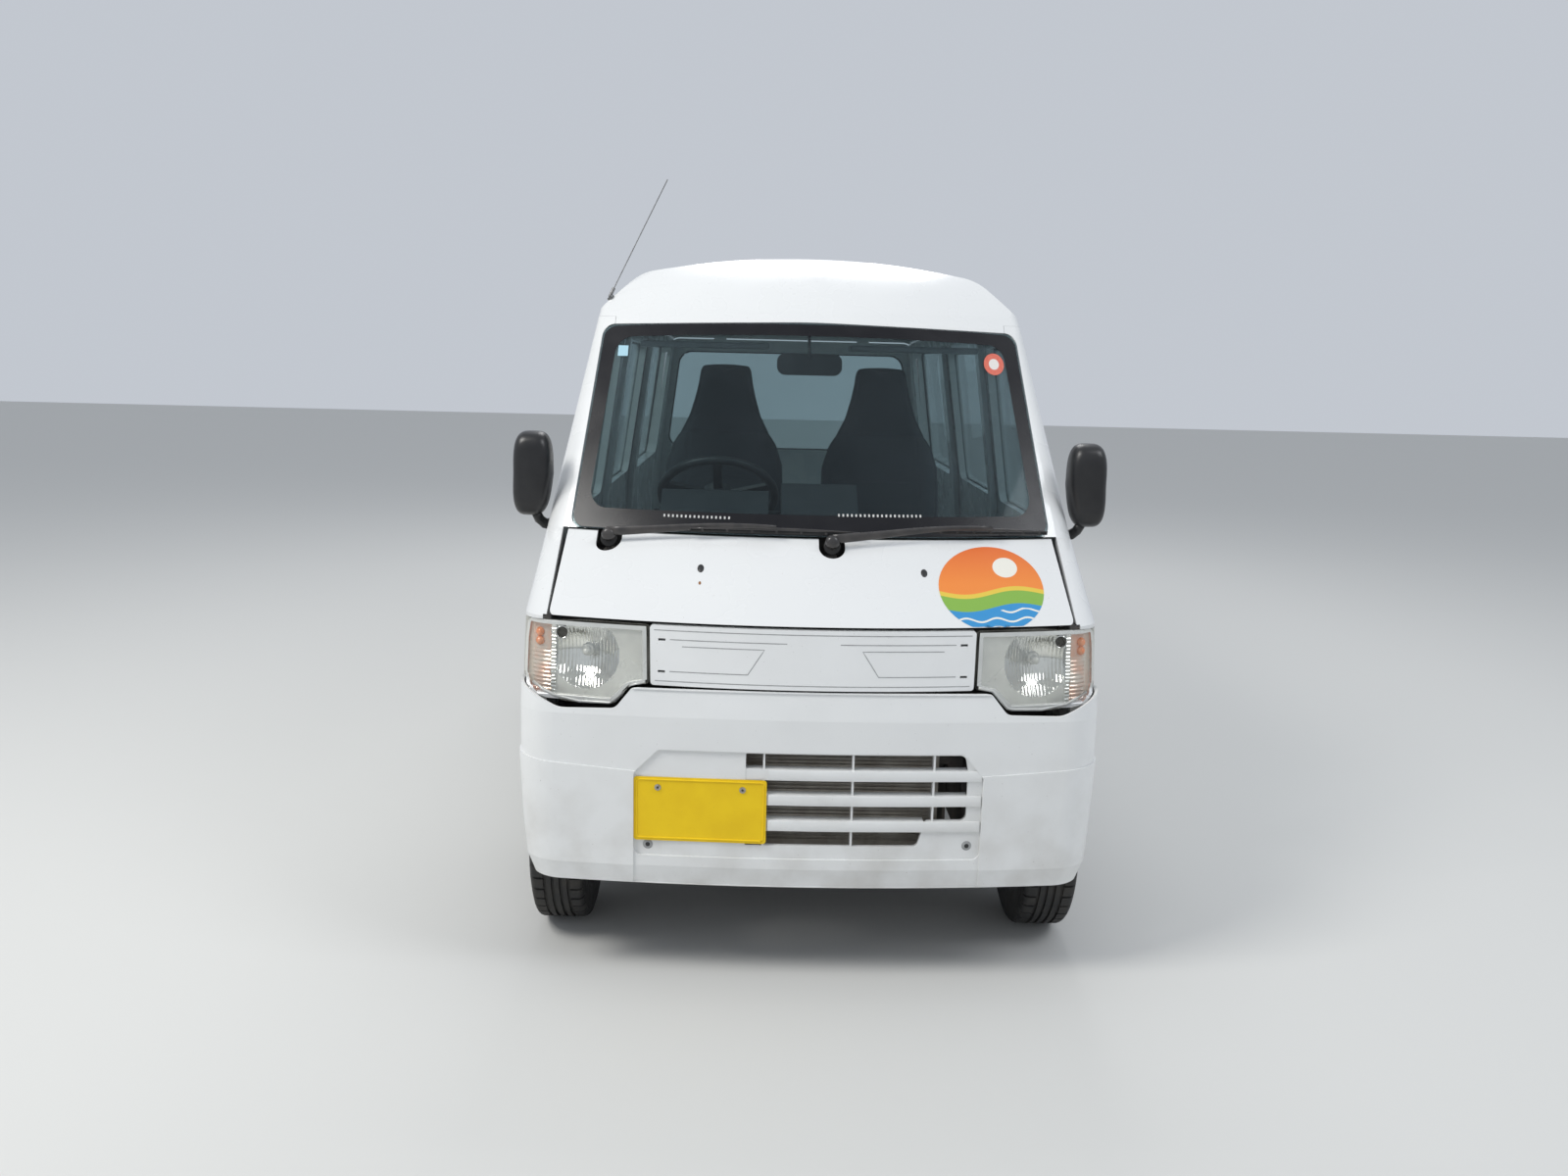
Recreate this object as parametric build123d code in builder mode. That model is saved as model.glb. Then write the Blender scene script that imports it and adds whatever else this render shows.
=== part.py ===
from build123d import *
import os
from math import cos, radians, sin, sqrt

os.makedirs("parts", exist_ok=True)

# A kei-class van, closed and glazed, in millimetres. It faces -Y, its left side is +X, the road is Z = 0.

# Overall sizes
overall_length = 3395
overall_width = 1475
roof_height = 1880
wheelbase = 2390
front_overhang = 430
track = 1310
half_width = overall_width / 2
front_y = -overall_length / 2
rear_y = overall_length / 2
front_axle_y = front_y + front_overhang
rear_axle_y = front_axle_y + wheelbase

# Levels above the road
sill_bottom = 225
bumper_bottom = 253
bumper_top = 757
grille_bottom = 762
grille_top = 908
bonnet_front = 916
glass_base = 1098
glass_top = 1662
roof_split = 1672
belt = 1080
door_bottom = 330
door_top = 1655
floor_bottom = 603
floor_top = 627
tailgate_bottom = 648

# Thicknesses and gaps
glass = 5
pane_inset = 10
pane_thickness = 4
skin = 14
door_thickness = 38
pillar_depth = 60
door_gap = 6
moving_gap = 5
seat_gap = 0.3
rebate = 25

# Running gear
tyre_radius = 271
tyre_width = 147
rim_radius = 160
arch_radius = tyre_radius + 54
arch_gap = 10
wheel_centre = tyre_radius
bore_radius = 28
half_track = track / 2
liner_inner_x = 415

# Steering: the kingpin runs from the lower ball joint to the strut's top mount.
kingpin_bottom = (half_track - 55, 170)
kingpin_top = (half_track - 155, floor_bottom)
driver_x = -265
steering_wheel_y = front_y + 818
steering_wheel_z = 1150
steering_wheel_radius = 183
column_rise = 47

# The nose is round in plan, about one upright axis. Its corners lie behind the middle by the nose drop.
nose_axis_y = front_y + 2430
nose_drop = 2430 - sqrt(2430**2 - half_width**2)
rim_round = 600

# Places clear of the body on each side, where cuts start and end
nose_low_y = front_y - 60
tail_high_y = rear_y + 60
far_x = half_width + 60

# Body levels, lowest first. Columns: height, half width, front edge on the centre line, rear edge,
# front corner radius, rear corner radius, and how far the front edge moves for each unit of wall.
body_levels = [
    (sill_bottom, half_width - 48, front_y + 42, rear_y - 58, 60, 60, 1.0),
    (300, half_width - 15, front_y + 28, rear_y - 30, 90, 80, 1.0),
    (520, half_width, front_y + 15, rear_y - 22, 110, 90, 1.0),
    (grille_bottom - 4, half_width, front_y + 15, rear_y - 19, 110, 90, 1.0),
    (bonnet_front - 4, half_width - 5, front_y + 33, rear_y - 21, 105, 90, 1.7),
    (glass_base, half_width - 19, front_y + 300, rear_y - 26, 75, 90, 1.3),
    (glass_top, half_width - 103, front_y + 740, rear_y - 69, 40, 80, 1.4),
    (roof_height + 20, half_width - 140, front_y + 967, rear_y - 92, 40, 80, 1.4),
]


def outline(plane, rows):
    """A closed outline from rows of two coordinates and a corner radius."""
    with BuildSketch(plane) as flat:
        with BuildLine():
            FilletPolyline(*[(u, v) for u, v, _ in rows], radius=[r for _, _, r in rows], close=True)
        make_face()
    return flat.sketch


def side_outline(rows, x):
    """Rows of y, z and corner radius, on the upright plane at x. It extrudes towards +X."""
    return outline(Plane.YZ.offset(x), rows)


def front_outline(rows, y):
    """Rows of x, z and corner radius, on the upright plane at y. It extrudes towards -Y."""
    return outline(Plane.XZ.offset(-y), rows)


def plan_outline(rows, z):
    """Rows of x, y and corner radius, on the level plane at z. It extrudes upwards."""
    return outline(Plane.XY.offset(z), rows)


def mirrored(rows):
    """Rows for the +X half of a symmetric outline, lowest first, completed with the other half."""
    return rows + [(-u, v, r) for u, v, r in reversed(rows) if u > 0]


def moved_out(rows, distance):
    """The same outline with each corner moved away from the middle of its box by a distance each way."""
    middle_u = (min(r[0] for r in rows) + max(r[0] for r in rows)) / 2
    middle_v = (min(r[1] for r in rows) + max(r[1] for r in rows)) / 2
    result = []
    for u, v, radius in rows:
        side_u = 0 if u == middle_u else (1 if u > middle_u else -1)
        side_v = 1 if v > middle_v else -1
        result.append((u + side_u * distance, v + side_v * distance, max(radius + distance, 1)))
    return result


def plan_section(height, half, front, rear, front_corner, rear_corner, radius):
    """One level of the body: round nose, straight sides and tail, rounded corners."""
    side_front = front + radius - sqrt(radius**2 - half**2)
    with BuildSketch(Plane.XY.offset(height)) as level:
        with BuildLine():
            ThreePointArc((-half, side_front), (0, front), (half, side_front))
            Polyline((half, side_front), (half, rear), (-half, rear), (-half, side_front))
        make_face()
        fillet(level.vertices().group_by(Axis.Y)[0], front_corner)
        fillet(level.vertices().group_by(Axis.Y)[-1], rear_corner)
    return level.sketch


def walls(inset):
    """The body's sides, nose and tail as one solid, with every face moved in by an inset."""
    levels = []
    for height, half, front, rear, front_corner, rear_corner, slope in body_levels:
        front_edge = front + inset * slope
        levels.append(
            plan_section(
                height - (inset if height == sill_bottom else 0),
                half - inset,
                front_edge,
                rear - inset,
                max(front_corner - inset, 8),
                max(rear_corner - inset, 8),
                nose_axis_y - front_edge,
            )
        )
    with BuildPart() as body:
        loft(levels, ruled=True)
    return body.part


def under_roof(inset):
    """The same with the crowned roof, its rounded brow and its tail, for the pieces above the doors."""
    crown = [
        (half_width + 62, 100, 0),
        (half_width + 62, roof_height - 356 - 1.4 * inset, 0),
        (half_width - 225, roof_height - 68 - 1.15 * inset, 130),
        (0, roof_height + 22 - inset, 2200),
    ]
    header_run = 227 / 238
    header_y = front_y + 740 + 1.4 * inset
    brow = [
        (0, 100, 0),
        (nose_axis_y - header_y + header_run * (glass_top - 600), 100, 0),
        (nose_axis_y - header_y + header_run * (glass_top - 600), 600, 0),
        (nose_axis_y - header_y - header_run * (roof_height - inset - glass_top), roof_height - inset, rim_round),
        (0, roof_height - inset, 0),
    ]
    tail = [
        (front_y - 300, 100, 0),
        (rear_y + 60, 100, 0),
        (rear_y + 60, 900, 0),
        (rear_y - 4 - inset, 1000, 0),
        (rear_y - 89 - inset, roof_height - inset, 110),
        (front_y - 300, roof_height - inset, 0),
    ]
    with BuildPart() as body:
        add(walls(inset))
        box_between((-far_x, front_y - 10, glass_top - 80), (far_x, rear_y + 60, roof_height + 60), Mode.INTERSECT)
        extrude(front_outline(mirrored(crown), rear_y + 200), amount=overall_length + 400, mode=Mode.INTERSECT)
        extrude(side_outline(tail, -overall_width), amount=2 * overall_width, mode=Mode.INTERSECT)
    with BuildPart() as dome:
        with BuildSketch(Plane.XZ) as half_dome:
            with BuildLine():
                FilletPolyline(*[(u, v) for u, v, _ in brow], radius=[r for _, _, r in brow], close=True)
            make_face()
        revolve(axis=Axis.Z)
    with BuildPart() as rounded:
        add(body.part)
        add(dome.part.moved(Location((0, nose_axis_y, 0))), mode=Mode.INTERSECT)
    return rounded.part


def through_x(rows, low_x, high_x, mode):
    """Cut or keep the side-view outline between two x places."""
    extrude(side_outline(rows, low_x), amount=high_x - low_x, mode=mode)


def through_y(rows, low_y, high_y, mode):
    """Cut or keep the front-view outline between two y places."""
    extrude(front_outline(rows, high_y), amount=high_y - low_y, mode=mode)


def box_between(low, high, mode=Mode.ADD):
    """A block from its lowest to its highest corner."""
    size = [high[i] - low[i] for i in range(3)]
    middle = [(high[i] + low[i]) / 2 for i in range(3)]
    with Locations(tuple(middle)):
        Box(*size, mode=mode)


def tube_x(radius, y, z, low_x, high_x, mode=Mode.ADD):
    """A cylinder along X."""
    with Locations(Location(((low_x + high_x) / 2, y, z), (0, 90, 0))):
        Cylinder(radius, high_x - low_x, mode=mode)


def rod(start, end, radius, mode=Mode.ADD):
    """A straight round bar between two points."""
    direction = Vector(*end) - Vector(*start)
    with BuildSketch(Plane(origin=start, z_dir=direction.normalized())) as round_end:
        Circle(radius)
    extrude(round_end.sketch, amount=direction.length, mode=mode)


def tapered_rod(start, end, start_radius, end_radius):
    """A straight round bar between two points that changes its thickness."""
    direction = Vector(*end) - Vector(*start)
    with BuildSketch(Plane(origin=start, z_dir=direction.normalized())) as first_end:
        Circle(start_radius)
    with BuildSketch(Plane(origin=end, z_dir=direction.normalized())) as last_end:
        Circle(end_radius)
    loft([first_end.sketch, last_end.sketch], ruled=True)


def save(builder, label):
    """Name a finished piece and write it."""
    builder.part.label = label
    export_step(builder.part, f"parts/{label}.step")


def mirror_across(builder):
    """The same piece for the other side of the van."""
    with BuildPart() as other:
        add(builder.part)
        mirror(about=Plane.YZ, mode=Mode.REPLACE)
    return other


def save_pair(builder, label):
    """Write a piece and its mirror image as one part with two solids."""
    with BuildPart() as both:
        add(builder.part)
        mirror(about=Plane.YZ)
    save(both, label)


outer = walls(0)
under_glass = walls(glass)
glass_seat = walls(glass + seat_gap)
under_pane_face = walls(pane_inset)
under_pane = walls(pane_inset + pane_thickness)
door_inner = walls(door_thickness)
door_pocket = walls(door_thickness + moving_gap)
wall_inner = walls(pillar_depth)


def side_piece(outside, rows, inside):
    """What lies between two forms of the body within a side-view outline, on the left."""
    with BuildPart() as piece:
        extrude(side_outline(rows, 300), amount=far_x - 300)
        add(outside, mode=Mode.INTERSECT)
        add(inside, mode=Mode.SUBTRACT)
    return piece.part


def end_piece(outside, rows, low_y, high_y, inside):
    """What lies between two forms of the body within a front-view outline, between two y places."""
    with BuildPart() as piece:
        extrude(front_outline(rows, high_y), amount=high_y - low_y)
        add(outside, mode=Mode.INTERSECT)
        add(inside, mode=Mode.SUBTRACT)
    return piece.part


# Outlines in side view: y, z, corner radius
door_edge_y = front_axle_y + 27
b_pillar_y = front_axle_y + 927
slide_rear_y = rear_axle_y - 602
front_door_rows = [
    (door_edge_y, door_bottom, 0),
    (b_pillar_y, door_bottom, 40),
    (b_pillar_y, door_top, 30),
    (front_y + 897, door_top, 40),
    (front_y + 500, belt + 30, 60),
    (door_edge_y, belt - 20, 60),
]
front_window_rows = [
    (front_y + 560, belt + 22, 30),
    (b_pillar_y - 55, belt + 22, 35),
    (b_pillar_y - 55, door_top - 45, 35),
    (front_y + 912, door_top - 45, 35),
]
slide_door_rows = [
    (b_pillar_y + door_gap, door_bottom, 40),
    (slide_rear_y, door_bottom, 60),
    (slide_rear_y, door_top, 40),
    (b_pillar_y + door_gap, door_top, 30),
]
slide_window_rows = [
    (b_pillar_y + door_gap + 55, belt + 22, 40),
    (slide_rear_y - 60, belt + 22, 40),
    (slide_rear_y - 60, door_top - 45, 45),
    (b_pillar_y + door_gap + 55, door_top - 45, 40),
]
quarter_window_rows = [
    (slide_rear_y + 70, belt + 22, 40),
    (rear_y - 165, belt + 22, 40),
    (rear_y - 200, door_top - 45, 40),
    (slide_rear_y + 70, door_top - 45, 40),
]

# Outlines in front view: x, z, corner radius
windscreen_rows = mirrored([(646, glass_base + 3, 30), (607, glass_top - 16, 36), (0, glass_top, 2500)])
bonnet_half = half_width - 77
bonnet_rows = mirrored([(bonnet_half, bonnet_front, 12), (bonnet_half - 10, glass_base + 12, 10)])
grille_rows = mirrored([(398.5, grille_bottom, 8), (402.5, grille_top, 8)])
lamp_rows = [
    (403, grille_top, 10),
    (399, grille_bottom + 3, 14),
    (448, grille_bottom - 3, 10),
    (489, grille_bottom - 54, 22),
    (620, grille_bottom - 58, 60),
    (half_width + 30, grille_bottom + 8, 40),
    (half_width + 30, grille_top - 12, 20),
    (560, grille_top + 2, 60),
]
tailgate_rows = mirrored(
    [(half_width - 64, tailgate_bottom, 40), (half_width - 64, 960, 60), (half_width - 138, door_top - 2, 60)]
)
tail_window_rows = mirrored([(half_width - 125, belt + 40, 60), (half_width - 190, door_top - 60, 70)])


# Windscreen and bonnet
with BuildPart() as windscreen:
    add(end_piece(outer, windscreen_rows, nose_low_y, front_y + 1000, under_glass))
save(windscreen, "windscreen")

bonnet_hinge_y = front_y + 257
bonnet_hinge_z = glass_base - 63
pivot_places = [(-535, front_y + 338), (51, front_y + 273)]
notch_radius = 34
ear_x = 110
cheek_x = 11
cheek_thickness = 5
pin_radius = 3.5
with BuildPart() as bonnet:
    add(end_piece(outer, bonnet_rows, nose_low_y, front_y + 600, under_pane))
    box_between((-far_x, front_y, glass_base - 2), (far_x, front_y + 800, glass_base + 200), Mode.SUBTRACT)
    for x, y in pivot_places:
        rows = [(x + notch_radius, y - notch_radius, notch_radius - 1), (x + notch_radius, y + 200, 0)]
        rows += [(x - notch_radius, y + 200, 0), (x - notch_radius, y - notch_radius, notch_radius - 1)]
        extrude(plan_outline(rows, bonnet_front), amount=300, mode=Mode.SUBTRACT)
    for side in (-1, 1):
        for cheek in (-cheek_x, cheek_x):
            ear_rows = [
                (bonnet_hinge_y - 7, bonnet_hinge_z - 7, 6),
                (bonnet_hinge_y + 7, bonnet_hinge_z - 7, 6),
                (bonnet_hinge_y + 12, bonnet_hinge_z + 30, 0),
                (bonnet_hinge_y - 22, bonnet_hinge_z + 6, 0),
            ]
            low_x = side * ear_x + cheek - cheek_thickness / 2
            through_x(ear_rows, low_x, low_x + cheek_thickness, Mode.ADD)
        tube_x(
            pin_radius, bonnet_hinge_y, bonnet_hinge_z,
            side * ear_x - cheek_x - cheek_thickness / 2, side * ear_x + cheek_x + cheek_thickness / 2,
        )
    add(outer, mode=Mode.INTERSECT)
save(bonnet, "bonnet")

# Grille panel: a thin moulding with two small slots at each end
slot_x = 372
with BuildPart() as grille_panel:
    add(end_piece(outer, grille_rows, nose_low_y, front_y + 200, under_pane))
    for side in (-1, 1):
        for z in (grille_bottom + 34, grille_top - 34):
            box_between((side * slot_x - 9, nose_low_y, z - 3), (side * slot_x + 9, front_y + 200, z + 3), Mode.SUBTRACT)
save(grille_panel, "grille_panel")

# Headlamps: a clear cover over a bowl with a round reflector
lamp_back_y = front_y + 80 + nose_drop
reflector_x = half_width - 172
reflector_z = grille_bottom + 66
inner_lamp_rows = [
    (411, grille_top - 8, 8),
    (408, grille_bottom + 11, 10),
    (455, grille_bottom + 6, 8),
    (497, grille_bottom - 46, 16),
    (620, grille_bottom - 50, 50),
    (half_width - 26, grille_bottom - 8, 20),
    (half_width - 26, grille_top - 14, 16),
    (560, grille_top - 6, 50),
]
with BuildPart() as lens_left:
    add(end_piece(outer, lamp_rows, nose_low_y, lamp_back_y, under_glass))
save_pair(lens_left, "headlamp_lenses")

with BuildPart() as dish:
    with BuildSketch(Plane.XZ) as ring:
        with BuildLine():
            Polyline((0, -4), (62, -4), (62, -56), (58, -56))
            ThreePointArc((58, -56), (42, -28), (8, -14))
            Polyline((8, -14), (0, -14), (0, -4))
        make_face()
    revolve(axis=Axis.Z)
with BuildPart() as lamp_left:
    through_y(lamp_rows, nose_low_y, lamp_back_y, Mode.ADD)
    add(glass_seat, mode=Mode.INTERSECT)
    through_y(inner_lamp_rows, nose_low_y, lamp_back_y - 12, Mode.SUBTRACT)
    add(dish.part.moved(Location((reflector_x, lamp_back_y - 8, reflector_z), (-90, 0, 0))))
save_pair(lamp_left, "headlamps")

# Front bumper: a wrap-round moulding lofted from plan levels, with an air opening and a plate field.
# Columns: height, half width, front edge, corner radius
bumper_half = half_width + 2
bumper_levels = [
    (bumper_bottom, bumper_half - 32, front_y + 14, 95),
    (bumper_bottom + 50, bumper_half - 12, front_y + 3, 110),
    (bumper_bottom + 300, bumper_half, front_y, 115),
    (bumper_top - 69, bumper_half, front_y + 1, 115),
    (bumper_top, bumper_half - 1, front_y + 12, 112),
]
bumper_wall = 12
bumper_nose_radius = 5200
bumper_rear_y = front_y + 132 + bumper_nose_radius - sqrt(bumper_nose_radius**2 - half_width**2)
bumper_seam_y = bumper_rear_y - 8


def bumper_form(inset):
    """The bumper's outer form, or an inner one, as a closed solid."""
    levels = []
    for height, half, front, corner in bumper_levels:
        drop = inset if height == bumper_bottom else (-inset if height == bumper_top else 0)
        rear = bumper_rear_y + inset
        levels.append(
            plan_section(height - drop, half - inset, front + inset, rear, corner - inset, 1, bumper_nose_radius)
        )
    with BuildPart() as form:
        loft(levels, ruled=True)
    return form.part


field_rows = [(430, 330, 20), (430, 545, 12), (378, 606, 14), (-376, 606, 14), (-437, 545, 12), (-437, 330, 20)]
field_depth = 10
slot_left = -160
slot_right = 392
# The slots share one opening, and the blades between them are a piece of their own.
air_rows = [
    (270, 364, 14), (290, 432, 10), (slot_right, 432, 16), (slot_right, 560, 14),
    (slot_right - 8, 602, 18), (slot_left, 602, 4), (slot_left, 364, 4),
]
with BuildPart() as field_step:
    through_y(moved_out(field_rows, bumper_wall), nose_low_y, front_y + 90, Mode.ADD)
    add(bumper_form(field_depth), mode=Mode.INTERSECT)
    add(bumper_form(field_depth + bumper_wall), mode=Mode.SUBTRACT)
# The upper face and the lower middle panel lie a step behind the lower corners.
bumper_step = 4
step_z = bumper_bottom + 297
step_rise = 22
upper_face_rows = [
    (far_x, bumper_top + 60, 0), (far_x, step_z + step_rise, 0), (437, step_z, 0),
    (-437, step_z, 0), (-far_x, step_z + step_rise, 0), (-far_x, bumper_top + 60, 0),
]
middle_panel_rows = [(430, bumper_bottom - 60, 0), (430, 345, 0), (-437, 345, 0), (-437, bumper_bottom - 60, 0)]
with BuildPart() as step_shell:
    through_y(upper_face_rows, nose_low_y, bumper_rear_y + 20, Mode.ADD)
    through_y(middle_panel_rows, nose_low_y, front_y + 90, Mode.ADD)
    add(bumper_form(-2), mode=Mode.INTERSECT)
    add(bumper_form(bumper_step), mode=Mode.SUBTRACT)
with BuildPart() as front_bumper:
    add(bumper_form(0))
    add(bumper_form(bumper_wall), mode=Mode.SUBTRACT)
    box_between(
        (-far_x, bumper_seam_y, bumper_bottom - 40), (far_x, bumper_rear_y + 40, bumper_top + 40), Mode.SUBTRACT
    )
    add(step_shell.part, mode=Mode.SUBTRACT)
    through_y(field_rows, nose_low_y, front_y + 90, Mode.SUBTRACT)
    add(field_step.part)
    through_y(air_rows, nose_low_y, front_y + 90, Mode.SUBTRACT)
    for side in (-1, 1):
        tube_x(
            arch_radius + arch_gap, front_axle_y, wheel_centre, side * half_width - 140, side * half_width + 140,
            Mode.SUBTRACT,
        )
    for rows in (lamp_rows, [(-x, z, r) for x, z, r in lamp_rows]):
        through_y(moved_out(rows, 4), nose_low_y, lamp_back_y, Mode.SUBTRACT)
save(front_bumper, "front_bumper")

# Blades: lower edge and upper edge of each, and the upright ribs that tie them
blades = [(402, 432), (469, 498), (534, 563)]
blade_depth = 26
blade_inset = field_depth + 1
ribs = [(-115, 364), (105, 364), (307, 432)]
with BuildPart() as lower_grille:
    for low, high in blades:
        right = slot_right if low > 430 else 285
        box_between((slot_left + seat_gap, front_y - 10, low), (right - seat_gap, front_y + 90, high))
    for x, low in ribs:
        box_between((x - 2.5, front_y - 10, low + seat_gap), (x + 2.5, front_y + 90, 602 - seat_gap))
    add(bumper_form(blade_inset), mode=Mode.INTERSECT)
    add(bumper_form(blade_inset + blade_depth), mode=Mode.SUBTRACT)
    through_y(moved_out(air_rows, -seat_gap), nose_low_y, front_y + 90, Mode.INTERSECT)
save(lower_grille, "lower_grille")

plate_width = 330
plate_height = 165
plate_thickness = 1.2
front_plate_x = -272
front_plate_z = 452
plate_hole_spacing = 210
plate_hole_radius = 3.5
plate_hole_z = 56
nose_lean = front_plate_x / bumper_nose_radius
plate_back_y = front_y + 17 + 0.5 * front_plate_x * nose_lean - 7.1
with BuildPart() as front_plate:
    plate_plane = Plane(
        origin=(front_plate_x, plate_back_y, front_plate_z), x_dir=(1, nose_lean, 0), z_dir=(nose_lean, -1, 0)
    )
    with BuildSketch(plate_plane):
        RectangleRounded(plate_width, plate_height, 8)
        with Locations((-plate_hole_spacing / 2, plate_hole_z), (plate_hole_spacing / 2, plate_hole_z)):
            Circle(plate_hole_radius, mode=Mode.SUBTRACT)
    extrude(amount=plate_thickness)
save(front_plate, "front_plate")

# Side panels: fender, pillars, sill and rear quarter, with rebates for the doors, glass and tailgate
tail_lamp_low = 690
tail_lamp_high = 965
tail_lamp_x = half_width - 61
tail_lamp_y = rear_y - 111
hinge_leaf_levels = (720, 960)
rail_groove_z = 1000
header_half = half_width - 161
tail_box_y = rear_y - 200
rear_bumper_y = rear_y - 160
rear_bumper_bottom = 285
rear_bumper_top = tailgate_bottom - 6
tailgate_top = door_top - 2


def wheel_arch(axle_y, radius):
    """A round wheel arch cut through the left side."""
    tube_x(radius, axle_y, wheel_centre, 300, far_x, Mode.SUBTRACT)


with BuildPart() as side_left:
    box_between((0, front_y - 100, 0), (far_x, rear_y + 100, roof_split - seat_gap))
    add(outer, mode=Mode.INTERSECT)
    add(wall_inner, mode=Mode.SUBTRACT)
    box_between((-1, front_y - 110, 0), (far_x + 1, bumper_seam_y + seat_gap, grille_bottom + 3), Mode.SUBTRACT)
    box_between((-1, front_y - 110, 0), (half_width - 62, lamp_back_y + 3, bonnet_front), Mode.SUBTRACT)
    box_between((-1, front_y - 110, 0), (bonnet_half + 6, front_y + 600, glass_base + 3), Mode.SUBTRACT)
    box_between((-1, front_y - 110, glass_top - 60), (header_half, front_y + 1100, roof_split + 10), Mode.SUBTRACT)
    box_between((-1, tail_box_y, 0), (half_width - 70, rear_y + 110, tailgate_bottom + 40), Mode.SUBTRACT)
    box_between((-1, tail_box_y, door_top - 60), (header_half, rear_y + 110, roof_split + 10), Mode.SUBTRACT)
    through_y(moved_out(lamp_rows, 3), nose_low_y, lamp_back_y + 3, Mode.SUBTRACT)
    for rows in (front_door_rows, slide_door_rows):
        add(side_piece(outer, moved_out(rows, door_gap), door_pocket), mode=Mode.SUBTRACT)
        through_x(moved_out(rows, -rebate), 300, far_x, Mode.SUBTRACT)
    through_x(quarter_window_rows, 300, far_x, Mode.SUBTRACT)
    add(end_piece(outer, moved_out(windscreen_rows, 3), nose_low_y, front_y + 1000, glass_seat), mode=Mode.SUBTRACT)
    through_y(moved_out(windscreen_rows, -rebate), nose_low_y, front_y + 1000, Mode.SUBTRACT)
    add(end_piece(outer, moved_out(tailgate_rows, door_gap), tail_box_y, tail_high_y, door_pocket), mode=Mode.SUBTRACT)
    through_y(moved_out(tailgate_rows, -rebate), tail_box_y, tail_high_y, Mode.SUBTRACT)
    box_between(
        (tail_lamp_x - seat_gap, tail_lamp_y - seat_gap, tail_lamp_low - seat_gap),
        (far_x, rear_y + 60, tail_lamp_high + seat_gap),
        Mode.SUBTRACT,
    )
    wheel_arch(front_axle_y, arch_radius + arch_gap)
    wheel_arch(rear_axle_y, arch_radius)
    box_between(
        (half_width - 13, slide_rear_y + 20, rail_groove_z), (far_x, rear_y - 260, rail_groove_z + 14), Mode.SUBTRACT
    )
    box_between((-2, rear_bumper_y - seat_gap, 0), (far_x + 1, rear_y + 111, rear_bumper_top + seat_gap), Mode.SUBTRACT)
    for z in hinge_leaf_levels:
        box_between(
            (half_width - 42, door_edge_y - door_gap - 1, z), (half_width - 30, door_edge_y - seat_gap, z + 60)
        )
        box_between(
            (half_width - 42, slide_rear_y + seat_gap, z), (half_width - 30, slide_rear_y + door_gap + 1, z + 60)
        )
save(mirror_across(side_left), "side_panel_right")

# The fuel filler flap is on the left side only, drawn by a groove round it.
flap_y = rear_y - 285
flap_z = 870
flap_size = 150
flap_groove = 3
flap_rows = [
    (flap_y + a * flap_size / 2, flap_z + b * flap_size / 2, 22) for a, b in ((-1, -1), (1, -1), (1, 1), (-1, 1))
]
with BuildPart() as flap_line:
    through_x(flap_rows, 300, far_x, Mode.ADD)
    through_x(moved_out(flap_rows, -flap_groove), 300, far_x, Mode.SUBTRACT)
    add(walls(flap_groove), mode=Mode.SUBTRACT)
with BuildPart() as side_with_flap:
    add(side_left.part)
    add(flap_line.part, mode=Mode.SUBTRACT)
save(side_with_flap, "side_panel_left")

# Tail lamps in the rear corners
with BuildPart() as tail_lamp_left:
    box_between((tail_lamp_x, tail_lamp_y, tail_lamp_low), (far_x, rear_y + 60, tail_lamp_high))
    add(outer, mode=Mode.INTERSECT)
    add(door_inner, mode=Mode.SUBTRACT)
save_pair(tail_lamp_left, "tail_lamps")

# Roof with its headers, and two long grooves
groove_x = half_width - 230
with BuildPart() as roof_panel:
    box_between((-far_x, front_y, roof_split), (far_x, rear_y + 60, roof_height + 60))
    box_between((-header_half + 1, front_y, glass_top - 59), (header_half - 1, front_y + 1099, roof_height))
    box_between((-header_half + 1, tail_box_y + 1, door_top - 59), (header_half - 1, rear_y + 60, roof_height))
    add(under_roof(0), mode=Mode.INTERSECT)
    add(under_roof(door_thickness), mode=Mode.SUBTRACT)
    add(end_piece(outer, moved_out(windscreen_rows, 3), nose_low_y, front_y + 1000, glass_seat), mode=Mode.SUBTRACT)
    through_y(moved_out(windscreen_rows, -rebate), nose_low_y, front_y + 1000, Mode.SUBTRACT)
    through_y(moved_out(tailgate_rows, door_gap), tail_box_y, tail_high_y, Mode.SUBTRACT)
    for side in (-1, 1):
        box_between(
            (side * groove_x - 6, front_y + 1080, roof_height - 80),
            (side * groove_x + 6, rear_y - 130, roof_height + 10),
            Mode.SUBTRACT,
        )
        box_between(
            (side * 350 - 30, rear_y - 102, tailgate_top + seat_gap), (side * 350 + 30, rear_y - 88, tailgate_top + 12)
        )
save(roof_panel, "roof_panel")


def pane_band(low_edge, high_edge):
    """Where the panes lie between the glass levels: outward place, height and no corner radius."""
    return [
        (low_edge - pane_inset - pane_thickness, glass_base, 0),
        (low_edge - pane_inset, glass_base, 0),
        (high_edge - pane_inset, glass_top, 0),
        (high_edge - pane_inset - pane_thickness, glass_top, 0),
    ]


def side_pane(rows):
    """A flat side window that fits its opening."""
    with BuildPart() as pane:
        through_y(pane_band(half_width - 19, half_width - 103), front_y, rear_y, Mode.ADD)
        through_x(moved_out(rows, -seat_gap), 300, far_x, Mode.INTERSECT)
    return pane.part


handle_z = 930
handle_length = 150
cup_depth = 16


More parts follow.
